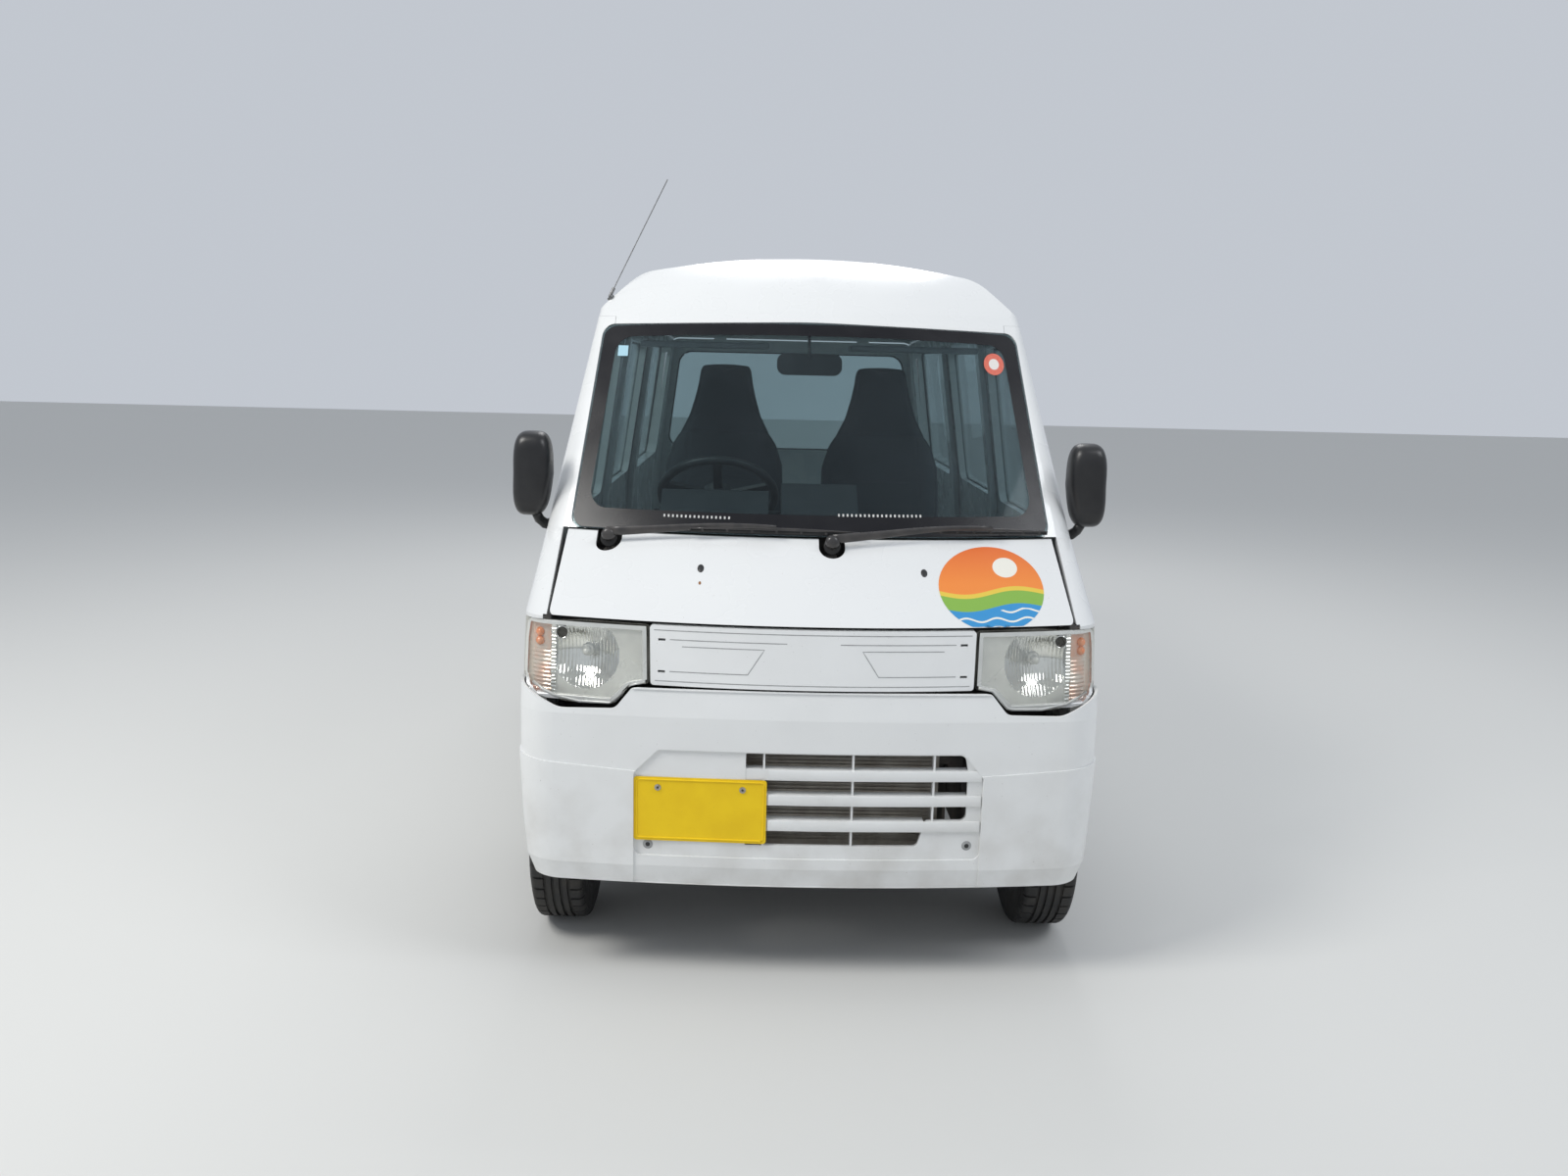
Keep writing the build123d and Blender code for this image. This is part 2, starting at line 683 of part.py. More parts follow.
def pull_handle(low_y):
    """A bar handle across a finger cup in a left door, from its front end."""
    box_between(
        (half_width - cup_depth, low_y + 22, handle_z - 24),
        (far_x, low_y + handle_length - 22, handle_z + 24),
        Mode.SUBTRACT,
    )
    with BuildSketch(Plane.XZ.offset(-low_y - handle_length)) as bar_end:
        with Locations((half_width + 2, handle_z)):
            RectangleRounded(20, 30, 8)
    extrude(bar_end.sketch, amount=handle_length)


# Doors on the left: the frame with its window cut out, and the pane
with BuildPart() as front_door_left:
    add(side_piece(outer, front_door_rows, door_inner))
    through_x(front_window_rows, 300, far_x, Mode.SUBTRACT)
    wheel_arch(front_axle_y, arch_radius + arch_gap + 12)
    pull_handle(b_pillar_y - 40 - handle_length)
save(front_door_left, "front_door_left")
save(mirror_across(front_door_left), "front_door_right")

with BuildPart() as front_pane:
    add(side_pane(front_window_rows))
save(front_pane, "front_door_glass_left")
save(mirror_across(front_pane), "front_door_glass_right")

with BuildPart() as sliding_door:
    add(side_piece(outer, slide_door_rows, door_inner))
    through_x(slide_window_rows, 300, far_x, Mode.SUBTRACT)
    pull_handle(b_pillar_y + door_gap + 40)
save(sliding_door, "sliding_door_left")
save(mirror_across(sliding_door), "sliding_door_right")

with BuildPart() as rear_panes:
    add(side_pane(slide_window_rows))
    add(side_pane(quarter_window_rows))
    mirror(about=Plane.YZ)
save(rear_panes, "rear_side_glass")

# Tailgate and its pane
with BuildPart() as tailgate:
    add(end_piece(outer, tailgate_rows, tail_box_y, tail_high_y, door_inner))
    through_y(tail_window_rows, tail_box_y, tail_high_y, Mode.SUBTRACT)
    box_between((-110, rear_y - 34, 742), (110, tail_high_y, 790), Mode.SUBTRACT)
    with Locations((0, rear_y - 19, 798)):
        grip = Box(280, 22, 28)
    fillet(grip.faces().sort_by(Axis.Y)[-1].edges(), 7)
save(tailgate, "tailgate")

with BuildPart() as tailgate_pane:
    through_x(pane_band(rear_y - 26, rear_y - 69), -far_x, far_x, Mode.ADD)
    through_y(moved_out(tail_window_rows, -seat_gap), tail_box_y, tail_high_y, Mode.INTERSECT)
save(tailgate_pane, "tailgate_glass")

# Rear bumper: proud of the tailgate, wrapped round the corners, with a recess for the number plate
# Columns: height, half width, rear edge, corner radius
rear_bumper_levels = [
    (rear_bumper_bottom, half_width - 26, rear_y - 14, 90),
    (rear_bumper_bottom + 55, half_width - 6, rear_y, 100),
    (rear_bumper_top - 50, half_width, rear_y, 100),
    (rear_bumper_top, half_width - 2, rear_y - 8, 96),
]
plate_recess = 8
rear_plate_z = 522
recess_rows = mirrored([(178, rear_plate_z - 94, 12), (178, rear_plate_z + 94, 12)])


def rear_bumper_form(inset):
    """The rear bumper's outer form, or an inner one, as a closed solid."""
    levels = []
    front = rear_bumper_y - 60 - inset
    for height, half, rear, corner in rear_bumper_levels:
        drop = inset if height in (rear_bumper_bottom, rear_bumper_top) else 0
        levels.append(
            plan_section(height - drop, half - inset, front, rear - inset, 1, corner - inset, bumper_nose_radius)
        )
    with BuildPart() as form:
        loft(levels, ruled=True)
    return form.part


with BuildPart() as rear_bumper:
    add(rear_bumper_form(0))
    add(rear_bumper_form(bumper_wall), mode=Mode.SUBTRACT)
    box_between((-far_x, rear_y - 300, 0), (far_x, rear_bumper_y, rear_bumper_top + 40), Mode.SUBTRACT)
    box_between(
        (-half_width + 66, rear_bumper_y - 1, 0), (half_width - 66, rear_y - 49.5, rear_bumper_top + 1), Mode.SUBTRACT
    )
    with BuildPart(mode=Mode.PRIVATE) as recess:
        through_y(recess_rows, rear_y - 60, tail_high_y, Mode.ADD)
        add(rear_bumper_form(plate_recess), mode=Mode.SUBTRACT)
    add(recess.part, mode=Mode.SUBTRACT)
save(rear_bumper, "rear_bumper")

# Underbody: the frame of rails and cross members
rail_inner = 360
rail_outer = 400
rail_bottom = 500
rear_panel_y = rear_y - 98
cross_member_bottom = 545
cross_member_places = [front_y + 155, front_y + 790, front_y + 1490, 420, 740, rear_y - 230]
with BuildPart() as chassis_frame:
    for side in (-1, 1):
        low_x, high_x = sorted((side * rail_inner, side * rail_outer))
        box_between((low_x, front_y + 150, rail_bottom), (high_x, rear_panel_y - seat_gap, floor_bottom - seat_gap))
    for y in cross_member_places:
        box_between(
            (-rail_inner + seat_gap, y - 25, cross_member_bottom), (rail_inner - seat_gap, y + 25, floor_bottom - seat_gap)
        )
save(chassis_frame, "chassis_frame")

# Wheelhouses: an arched shell over each wheel with an inner wall
wheelhouse_inner = arch_radius + 1
wheelhouse_outer = wheelhouse_inner + 12
wheelhouse_low = 330
rear_wall_x = 528
rear_liner_x = 540
inner_form = walls(pillar_depth + seat_gap)
# Columns: axle's y, inner wall's inboard x, inner wall's outboard x
wheelhouse_rows = [(front_axle_y, rail_outer + seat_gap, liner_inner_x), (rear_axle_y, rear_wall_x, rear_liner_x)]
with BuildPart() as left_wheelhouses:
    for axle_y, wall_x, liner_x in wheelhouse_rows:
        tube_x(wheelhouse_outer, axle_y, wheel_centre, wall_x, half_width)
        tube_x(wheelhouse_inner, axle_y, wheel_centre, liner_x, far_x, Mode.SUBTRACT)
    add(inner_form, mode=Mode.INTERSECT)
    box_between((0, front_y - 50, -80), (far_x, rear_y, wheelhouse_low), Mode.SUBTRACT)
save_pair(left_wheelhouses, "wheelhouses")

# Floor with its side skirts and the rear end panel
toe_y = front_y + 368
tie_down_x = 300
tie_down_front_y = 100
tie_down_rear_y = 1000
tie_down_radius = 4.25
with BuildPart() as floor_panel:
    box_between((-half_width, toe_y, floor_bottom), (half_width, rear_y - 40, floor_top))
    for axle_y, wall_x, liner_x in wheelhouse_rows:
        for side in (-1, 1):
            low_x, high_x = sorted((side * (wall_x - seat_gap), side * far_x))
            tube_x(wheelhouse_outer + seat_gap, axle_y, wheel_centre, low_x, high_x, Mode.SUBTRACT)
    for x in (-tie_down_x, tie_down_x):
        for y in (tie_down_front_y, tie_down_rear_y):
            with Locations((x, y, floor_bottom)):
                Cylinder(tie_down_radius, 200, mode=Mode.SUBTRACT)
    for side in (-1, 1):
        for low_y, high_y in (
            (front_axle_y + wheelhouse_outer + seat_gap, rear_axle_y - wheelhouse_outer - seat_gap),
            (rear_axle_y + wheelhouse_outer + seat_gap, rear_panel_y - seat_gap),
        ):
            low_x, high_x = sorted((side * (half_width - 84), side * (half_width - 50)))
            box_between((low_x, low_y, 300), (high_x, high_y, floor_bottom - seat_gap))
    panel_rows = [
        (rear_panel_y, rear_bumper_bottom + 50, 0),
        (rear_panel_y + 28, rear_bumper_bottom + 50, 0),
        (rear_panel_y + 28, 560, 0),
        (rear_panel_y + 48, 560, 0),
        (rear_panel_y + 48, floor_bottom - seat_gap, 0),
        (rear_panel_y, floor_bottom - seat_gap, 0),
    ]
    through_x(panel_rows, -half_width + 78, half_width - 78, Mode.ADD)
    add(inner_form, mode=Mode.INTERSECT)
save(floor_panel, "floor_panel")

# Cowl: the curved wall under the windscreen, its shelf, the toe board and the wiper brackets
cowl_radius = nose_axis_y - front_y - 352
cowl_thickness = 14
cowl_half = half_width - 80
shelf_z = 873
lamp_bar_y = lamp_back_y + seat_gap
with BuildPart() as cowl:
    with BuildSketch(Plane.XY.offset(shelf_z)) as cowl_plan:
        with Locations((0, nose_axis_y)):
            Circle(cowl_radius)
            Circle(cowl_radius - cowl_thickness, mode=Mode.SUBTRACT)
        with Locations((0, front_y + 400)):
            Rectangle(2 * cowl_half, 800, mode=Mode.INTERSECT)
    extrude(cowl_plan.sketch, amount=glass_base + 3 - seat_gap - shelf_z)
    with BuildSketch(Plane.XY.offset(shelf_z)) as shelf_plan:
        with Locations((0, nose_axis_y)):
            Circle(cowl_radius)
        with Locations((0, (toe_y + front_y + 200) / 2)):
            Rectangle(2 * cowl_half, toe_y + 120 - front_y - 200, mode=Mode.INTERSECT)
    extrude(shelf_plan.sketch, amount=12)
    box_between(
        (-cowl_half, toe_y - 6.3, wheel_centre + wheelhouse_outer + seat_gap), (cowl_half, toe_y - seat_gap, shelf_z + 1)
    )
    for x, y in pivot_places:
        box_between((x - 15, y - 9, glass_base - 62), (x + 15, y + 95, glass_base - 46))
        rod((x, y, glass_base - 47), (x, y, glass_base - 5 - seat_gap), 6)
    with BuildSketch(Plane.XY.offset(shelf_z + 20)) as behind_cowl:
        with Locations((0, nose_axis_y)):
            Circle(cowl_radius - cowl_thickness)
        with Locations((0, front_y + 500)):
            Rectangle(1400, 700, mode=Mode.INTERSECT)
    extrude(behind_cowl.sketch, amount=glass_base - shelf_z, mode=Mode.SUBTRACT)
save(cowl, "cowl")

# Radiator support: the lamp bar on two posts tied back to the toe board, and the bonnet's hinge plates
with BuildPart() as radiator_support:
    box_between((-half_width + 100, lamp_bar_y, 868), (half_width - 100, lamp_bar_y + 40, 902))
    for side in (-1, 1):
        low_x, high_x = sorted((side * 330, side * (rail_inner - seat_gap)))
        box_between((low_x, lamp_bar_y + 6, 300), (high_x, lamp_bar_y + 30, 870))
        box_between((low_x, lamp_bar_y + 7, 640), (high_x, toe_y - 6.3 - seat_gap, 700))
        box_between((low_x, front_y + 110, 300), (high_x, lamp_bar_y + 7, 330))
    box_between((-331, front_y + 110, 300), (331, front_y + 134, 330))
    plate_rows = [
        (lamp_bar_y + 2, 902 + seat_gap, 0),
        (lamp_bar_y + 38, 902 + seat_gap, 0),
        (bonnet_hinge_y + 6.5, bonnet_hinge_z - 6, 6),
        (bonnet_hinge_y + 6.5, bonnet_hinge_z + 6.5, 6),
        (bonnet_hinge_y - 6.5, bonnet_hinge_z + 6.5, 6),
    ]
    for side in (-1, 1):
        through_x(plate_rows, side * ear_x - 3.5, side * ear_x + 3.5, Mode.ADD)
        tube_x(
            pin_radius + seat_gap, bonnet_hinge_y, bonnet_hinge_z, side * ear_x - 20, side * ear_x + 20, Mode.SUBTRACT
        )
save(radiator_support, "radiator_support")

# Radiator, held in the frame behind the bumper
with BuildPart() as radiator:
    box_between((-329.5, front_y + 96, 331), (329.5, front_y + 130, 715))
    for x in (-300, 300):
        box_between((x - 12, front_y + 112, 330 + seat_gap), (x + 12, front_y + 128, 340))
save(radiator, "radiator")

# Dashboard: a profile in side view, with the dial hood before the driver and a pad in the middle
dash_half = half_width - 98
with BuildPart() as dashboard:
    dash_rows = [
        (front_y + 290, 886, 0),
        (toe_y + 60 + seat_gap, 886, 0),
        (toe_y + 60 + seat_gap, shelf_z - seat_gap, 0),
        (toe_y, shelf_z - seat_gap, 0),
        (toe_y, 742, 0),
        (front_y + 515, 760, 30),
        (front_y + 555, 860, 40),
        (front_y + 612, 935, 40),
        (front_y + 612, 1040, 40),
        (front_y + 545, 1086, 50),
        (front_y + 290, 1086, 0),
    ]
    through_x(dash_rows, -dash_half, dash_half, Mode.ADD)
    hood_rows = [
        (front_y + 470, 1080, 0),
        (front_y + 640, 1080, 10),
        (front_y + 645, 1176, 14),
        (front_y + 590, 1192, 30),
        (front_y + 490, 1140, 40),
    ]
    through_x(hood_rows, driver_x - 150, driver_x + 150, Mode.ADD)
    pad_rows = [
        (front_y + 440, 1080, 0),
        (front_y + 612, 1080, 0),
        (front_y + 612, 1200, 20),
        (front_y + 560, 1218, 24),
        (front_y + 450, 1150, 40),
    ]
    through_x(pad_rows, -80, 130, Mode.ADD)
    with BuildSketch(Plane.XY.offset(600)) as behind_cowl:
        with Locations((0, nose_axis_y)):
            Circle(cowl_radius - cowl_thickness - seat_gap)
    extrude(behind_cowl.sketch, amount=900, mode=Mode.INTERSECT)
    add(under_pane, mode=Mode.INTERSECT)
    rise = radians(column_rise)
    column_end = (driver_x, steering_wheel_y - 430 * cos(rise), steering_wheel_z - 430 * sin(rise))
    column_start = (driver_x, steering_wheel_y - 21.3 * cos(rise), steering_wheel_z - 21.3 * sin(rise))
    rod(column_start, column_end, 24 + seat_gap, Mode.SUBTRACT)
save(dashboard, "dashboard")

with BuildPart() as steering_column:
    rod(column_start, column_end, 24)
    shroud_place = (driver_x, steering_wheel_y - 80 * cos(rise), steering_wheel_z - 80 * sin(rise))
    with Locations(Location(shroud_place, (column_rise - 90, 0, 0))):
        Box(84, 60, 90)
    for side in (-1, 1):
        low_x, high_x = sorted((driver_x + side * 40, driver_x + side * 190))
        tube_x(5, steering_wheel_y - 60 * cos(rise), steering_wheel_z - 60 * sin(rise), low_x, high_x)
save(steering_column, "steering_column")

with BuildPart() as steering_wheel:
    with Locations(Location((driver_x, steering_wheel_y, steering_wheel_z), (column_rise - 90, 0, 0))):
        Torus(steering_wheel_radius - 13, 13)
        with Locations((0, 0, -4)):
            Cylinder(48, 34)
        for angle in (-20, 200, 270):
            with Locations(Location((0, 0, 0), (0, 0, angle))):
                with Locations((95, 0, -3)):
                    Box(140, 26, 12)
save(steering_wheel, "steering_wheel")

# Front seats: a cushion and a leaning back with its head rest in one piece
recliner_angle = 12
seat_x = 262
cushion_bottom = 832
cushion_front_y = front_y + 830
back_rows = [
    (-222, 0, 30), (222, 0, 30), (224, 300, 60), (175, 400, 60), (95, 440, 60),
    (118, 520, 40), (92, 645, 50), (-92, 645, 50), (-118, 520, 40),
    (-95, 440, 60), (-175, 400, 60), (-224, 300, 60),
]
lean = radians(recliner_angle)
with BuildPart() as front_seats:
    for x in (-seat_x, seat_x):
        cushion_rows = [
            (cushion_front_y, cushion_bottom, 20),
            (cushion_front_y + 450, cushion_bottom, 20),
            (cushion_front_y + 450, cushion_bottom + 105, 30),
            (cushion_front_y + 15, cushion_bottom + 125, 45),
        ]
        through_x(cushion_rows, x - 225, x + 225, Mode.ADD)
        back_plane = Plane(
            origin=(x, cushion_front_y + 430, cushion_bottom + 80), x_dir=(1, 0, 0), z_dir=(0, -cos(lean), sin(lean))
        )
        extrude(outline(back_plane, back_rows), amount=100)
save(front_seats, "front_seats")

with BuildPart() as seat_base:
    base_rows = [
        (cushion_front_y + 20, floor_top + seat_gap, 0),
        (cushion_front_y + 455, floor_top + seat_gap, 0),
        (cushion_front_y + 455, cushion_bottom - seat_gap, 20),
        (cushion_front_y + 8, cushion_bottom - seat_gap, 20),
    ]
    through_x(base_rows, -half_width + 190, half_width - 190, Mode.ADD)
save(seat_base, "seat_base")

# Under the floor: engine, exhaust and fuel tank
engine_front_y = front_y + 830
with BuildPart() as engine_block:
    box_between((-290, engine_front_y, 300), (290, engine_front_y + 430, floor_bottom - seat_gap))
    box_between((-180, engine_front_y + 60, 235), (180, engine_front_y + 380, 301))
save(engine_block, "engine_block")

with BuildPart() as fuel_tank:
    box_between((130, -150, 275), (590, 480, rail_bottom - seat_gap))
    fillet(fuel_tank.edges().filter_by(Axis.Z), 50)
    fillet(fuel_tank.faces().sort_by(Axis.Z)[0].edges(), 30)
save(fuel_tank, "fuel_tank")

muffler_y = rear_y - 230
with BuildPart() as exhaust:
    tube_x(65, muffler_y, 385, -330, -90)
    box_between((-250, muffler_y - 12, 440), (-220, muffler_y + 12, cross_member_bottom - seat_gap))
    rod((-200, muffler_y, 400), (-200, -340, 400), 21)
    rod((-200, -340, 400), (-240, engine_front_y + 430 + 9, 400), 21)
    rod((-300, muffler_y, 340), (-300, muffler_y + 70, 250), 19)
    rod((-300, muffler_y + 70, 250), (-300, rear_y - 35, 245), 19)
save(exhaust, "exhaust")


# Wheels: a steel rim and its tyre, built on their own axis and placed at the four corners
rim_half = 64
sidewall = tyre_radius - rim_radius
tyre_rows = [
    (-60, rim_radius + seat_gap, 0),
    (60, rim_radius + seat_gap, 0),
    (60.5, rim_radius + 0.13 * sidewall, 0),
    (tyre_width / 2, rim_radius + 0.45 * sidewall, 0.54 * sidewall),
    (tyre_width / 2 - 5, tyre_radius - 0.11 * sidewall, 0.12 * sidewall),
    (tyre_width / 2 - 18, tyre_radius, 0.18 * sidewall),
    (-tyre_width / 2 + 18, tyre_radius, 0.18 * sidewall),
    (-tyre_width / 2 + 5, tyre_radius - 0.11 * sidewall, 0.12 * sidewall),
    (-tyre_width / 2, rim_radius + 0.45 * sidewall, 0.54 * sidewall),
    (-60.5, rim_radius + 0.13 * sidewall, 0),
]
rim_rows = [
    (-rim_half, rim_radius - 8, 0), (16, rim_radius - 8, 4), (30, 118, 8), (34, 92, 8), (24, 66, 6), (24, bore_radius, 0),
    (30, bore_radius, 0), (30, 64, 6), (41, 90, 8), (38, 122, 8), (26, rim_radius - 8, 4), (rim_half, rim_radius - 8, 0),
    (rim_half, rim_radius + 12, 3), (rim_half - 3.5, rim_radius + 12, 0), (rim_half - 3.5, rim_radius, 0),
    (-rim_half + 3.5, rim_radius, 0), (-rim_half + 3.5, rim_radius + 12, 0), (-rim_half, rim_radius + 12, 3),
]
with BuildPart() as tyre:
    with BuildSketch(Plane.XY) as tyre_half:
        add(outline(Plane.XY, tyre_rows))
    revolve(axis=Axis.X)
with BuildPart() as rim:
    with BuildSketch(Plane.XY) as rim_half_section:
        add(outline(Plane.XY, rim_rows))
    revolve(axis=Axis.X)
    with Locations(Location((0, 0, 0), (0, 90, 0))):
        with PolarLocations(108, 10):
            Cylinder(11, 200, mode=Mode.SUBTRACT)
        with Locations((0, 0, 33)):
            with PolarLocations(50, 4):
                Cylinder(9, 14)
# Columns: name, x, axle's y, turn about Z that faces the rim outwards
wheel_places = [
    ("front_left", half_track, front_axle_y, 0),
    ("front_right", -half_track, front_axle_y, 180),
    ("rear_left", half_track, rear_axle_y, 0),
    ("rear_right", -half_track, rear_axle_y, 180),
]
for place, x, y, turn in wheel_places:
    with BuildPart() as placed_tyre:
        add(tyre.part.moved(Location((x, y, wheel_centre), (0, 0, turn))))
    save(placed_tyre, f"tyre_{place}")
    with BuildPart() as placed_rim:
        add(rim.part.moved(Location((x, y, wheel_centre), (0, 0, turn))))
    save(placed_rim, f"rim_{place}")


# Front knuckles: stub axle, drum and strut in one, turning about the leaning kingpin
kingpin_lean = (kingpin_bottom[0] - kingpin_top[0]) / (kingpin_top[1] - kingpin_bottom[1])


def on_kingpin(height):
    """The point of the left kingpin's axis at a height."""
    return (kingpin_bottom[0] - kingpin_lean * (height - kingpin_bottom[1]), front_axle_y, height)


drum_radius = 88
strut_top = wheel_centre + wheelhouse_inner - 6.3
ball_height = 165
with BuildPart() as knuckle_left:
    rod(on_kingpin(ball_height + seat_gap), on_kingpin(200), 12)
    rod(on_kingpin(190), on_kingpin(400), 17)
    rod(on_kingpin(380), on_kingpin(strut_top), 26)
    rod(on_kingpin(490), on_kingpin(strut_top - 12), 38)
    tube_x(drum_radius, front_axle_y, wheel_centre, 574, 662)
    tube_x(bore_radius - seat_gap, front_axle_y, wheel_centre, 660, half_track + 48)
save(knuckle_left, "knuckle_left")
save(mirror_across(knuckle_left), "knuckle_right")

# Front cross member and lower arms
arm_y = front_axle_y
with BuildPart() as front_crossmember:
    box_between((-rail_outer + 1.3, arm_y - 35, 185), (rail_outer - 1.3, arm_y + 35, 235))
    for side in (-1, 1):
        low_x, high_x = sorted((side * (rail_inner - 5), side * (rail_outer - 1.3)))
        box_between((low_x, arm_y - 35, 230), (high_x, arm_y + 35, rail_bottom - seat_gap))
    for side in (-1, 1):
        low_x, low_y, low_z = on_kingpin(ball_height - 26)
        high_x, high_y, high_z = on_kingpin(ball_height)
        rod((side * low_x, low_y, low_z), (side * high_x, high_y, high_z), 19)
        rod((side * 380, arm_y, 192), (side * low_x, low_y, low_z + 6), 9)
        rod((side * 330, arm_y + 170, 205), (side * (low_x - 70), low_y, low_z + 16), 9)
        box_between((side * 330 - 16, arm_y + 30, 190), (side * 330 + 16, arm_y + 185, 222))
save(front_crossmember, "front_crossmember")

# Rear axle with its drums, stubs and propeller shaft
with BuildPart() as rear_axle:
    tube_x(32, rear_axle_y, wheel_centre, -578, 578)
    for side in (-1, 1):
        low_x, high_x = sorted((side * 574, side * 662))
        tube_x(drum_radius, rear_axle_y, wheel_centre, low_x, high_x)
        low_x, high_x = sorted((side * 660, side * (half_track + 48)))
        tube_x(bore_radius - seat_gap, rear_axle_y, wheel_centre, low_x, high_x)
    tube_x(86, rear_axle_y, wheel_centre, -60, 60)
    rod((0, rear_axle_y - 60, wheel_centre), (0, engine_front_y + 430 + 12, 330), 24)
save(rear_axle, "rear_axle")

# Leaf springs on the axle tube, shackled to the rails
spring_x = rail_outer - 20
with BuildPart() as leaf_springs:
    spring_rows = [
        (rear_axle_y - 460, 470, 0),
        (rear_axle_y - 460, 456, 0),
        (rear_axle_y - 200, 330, 500),
        (rear_axle_y - 45, wheel_centre + 32 + seat_gap, 40),
        (rear_axle_y + 45, wheel_centre + 32 + seat_gap, 40),
        (rear_axle_y + 200, 330, 500),
        (rear_axle_y + 460, 456, 0),
        (rear_axle_y + 460, 470, 0),
        (rear_axle_y + 200, 352, 500),
        (rear_axle_y + 45, wheel_centre + 62, 40),
        (rear_axle_y - 45, wheel_centre + 62, 40),
        (rear_axle_y - 200, 352, 500),
    ]
    for side in (-1, 1):
        low_x, high_x = sorted((side * (spring_x - 28), side * (spring_x + 18)))
        through_x(spring_rows, low_x, high_x, Mode.ADD)
        for y in (rear_axle_y - 450, rear_axle_y + 450):
            box_between((low_x + 4, y - 8, 450), (high_x - 4, y + 8, rail_bottom - seat_gap))
save(leaf_springs, "leaf_springs")

# Door mirrors on stalks from the doors' front corners
mirror_y = front_y + 480
with BuildPart() as door_mirror_left:
    with Locations((half_width + 24, mirror_y, 1252)):
        Box(112, 62, 200)
    fillet(door_mirror_left.edges().filter_by(Axis.Y), 34)
    fillet(door_mirror_left.faces().sort_by(Axis.Y)[0].edges(), 16)
    rod((half_width - 17.1, mirror_y + 40, 1092), (half_width + 4, mirror_y + 40, 1092), 15)
    rod((half_width - 2, mirror_y + 40, 1092), (half_width + 8, mirror_y + 8, 1170), 11)
save(door_mirror_left, "door_mirror_left")
save(mirror_across(door_mirror_left), "door_mirror_right")

# Wipers: arms from the two spindles, and blades that lie along the foot of the windscreen
# Columns: spindle's x and y, blade's two ends, arm's joint with the blade
wiper_rows = [
    (-535, front_y + 338, (-319, front_y + 292, 1112), (132, front_y + 286, 1112), (-95, front_y + 282, 1113)),
    (51, front_y + 273, (315, front_y + 306, 1118), (638, front_y + 392, 1112), (478, front_y + 338, 1118)),
]
with BuildPart() as wipers:
    for x, y, blade_start, blade_end, grip in wiper_rows:
        with Locations((x, y, glass_base + 6)):
            Cylinder(13, 22)
        tapered_rod((x, y, glass_base + 10), grip, 8, 3.5)
        blade_middle = tuple((a + b) / 2 for a, b in zip(blade_start, blade_end))
        tapered_rod(blade_start, blade_middle, 3, 6)
        tapered_rod(blade_middle, blade_end, 6, 3)
save(wipers, "wipers")

# Antenna on the right front corner of the roof, on a small round foot
antenna_foot = (-598, front_y + 922, roof_height - 153.5)
antenna_tip = (-444, front_y + 1078, 2095)
with BuildPart() as antenna:
    foot_top = (antenna_foot[0] - 5, antenna_foot[1], antenna_foot[2] + 5)
    rod(antenna_foot, foot_top, 11)
    rod(foot_top, [a + 0.07 * (b - a) for a, b in zip(foot_top, antenna_tip)], 5)
    rod(foot_top, antenna_tip, 1.6)
save(antenna, "antenna")

# Cabin mirror on a short stem
with BuildPart() as cabin_mirror:
    with Locations((-5, front_y + 697, 1545)):
        Box(186, 14, 62)
    fillet(cabin_mirror.edges().filter_by(Axis.Y), 24)
    rod((-5, front_y + 690, 1560), (-5, front_y + 690, 1581), 6)
save(cabin_mirror, "cabin_mirror")

# Rear number plate in its recess
with BuildPart() as rear_plate:
    with BuildSketch(Plane.XZ.offset(-(rear_y - plate_recess + seat_gap + plate_thickness))):
        with Locations((0, rear_plate_z)):
            RectangleRounded(plate_width, plate_height, 8)
        for x in (-plate_hole_spacing / 2, plate_hole_spacing / 2):
            with Locations((x, rear_plate_z + plate_hole_z)):
                Circle(plate_hole_radius, mode=Mode.SUBTRACT)
    extrude(amount=plate_thickness)
save(rear_plate, "rear_plate")
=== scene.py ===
import math

import bmesh
import bpy
from mathutils import Matrix, Vector
from mathutils.bvhtree import BVHTree


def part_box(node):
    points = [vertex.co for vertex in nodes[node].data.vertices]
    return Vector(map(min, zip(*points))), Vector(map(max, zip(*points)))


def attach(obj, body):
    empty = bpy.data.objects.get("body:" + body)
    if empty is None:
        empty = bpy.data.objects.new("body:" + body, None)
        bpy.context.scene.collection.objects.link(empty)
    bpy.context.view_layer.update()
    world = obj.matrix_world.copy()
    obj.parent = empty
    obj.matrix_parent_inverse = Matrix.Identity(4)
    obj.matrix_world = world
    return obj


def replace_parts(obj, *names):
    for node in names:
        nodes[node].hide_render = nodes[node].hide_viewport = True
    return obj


# A closed, glazed kei van, in metres. It faces -Y, its left side is +X, the road is Z = 0.
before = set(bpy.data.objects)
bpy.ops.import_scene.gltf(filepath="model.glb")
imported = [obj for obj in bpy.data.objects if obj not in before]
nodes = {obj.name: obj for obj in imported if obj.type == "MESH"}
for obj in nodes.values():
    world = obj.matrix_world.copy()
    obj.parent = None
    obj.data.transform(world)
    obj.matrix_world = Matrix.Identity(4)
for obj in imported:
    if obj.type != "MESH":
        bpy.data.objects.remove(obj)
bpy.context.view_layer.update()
scene = bpy.context.scene

# places read from the frame
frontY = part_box("front_bumper")[0].y
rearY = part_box("rear_bumper")[1].y
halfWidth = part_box("side_panel_left")[1].x
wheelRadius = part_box("tyre_front_left")[1].z / 2
sides = {"left": 1, "right": -1}
fullTurn = 2 * math.pi


def addObject(name, data):
    thing = bpy.data.objects.new(name, data)
    scene.collection.objects.link(thing)
    return thing


# camera
cameraSettings = {
    "place": (-0.138, -4.6097, 1.5485), "yaw": 1.2, "pitch": -10.3, "roll": 1.4, "lens": 28.46, "film": 36,
    "pixels": (1600, 1200), "focalPixels": 1265.1, "clip": (0.05, 200),
}


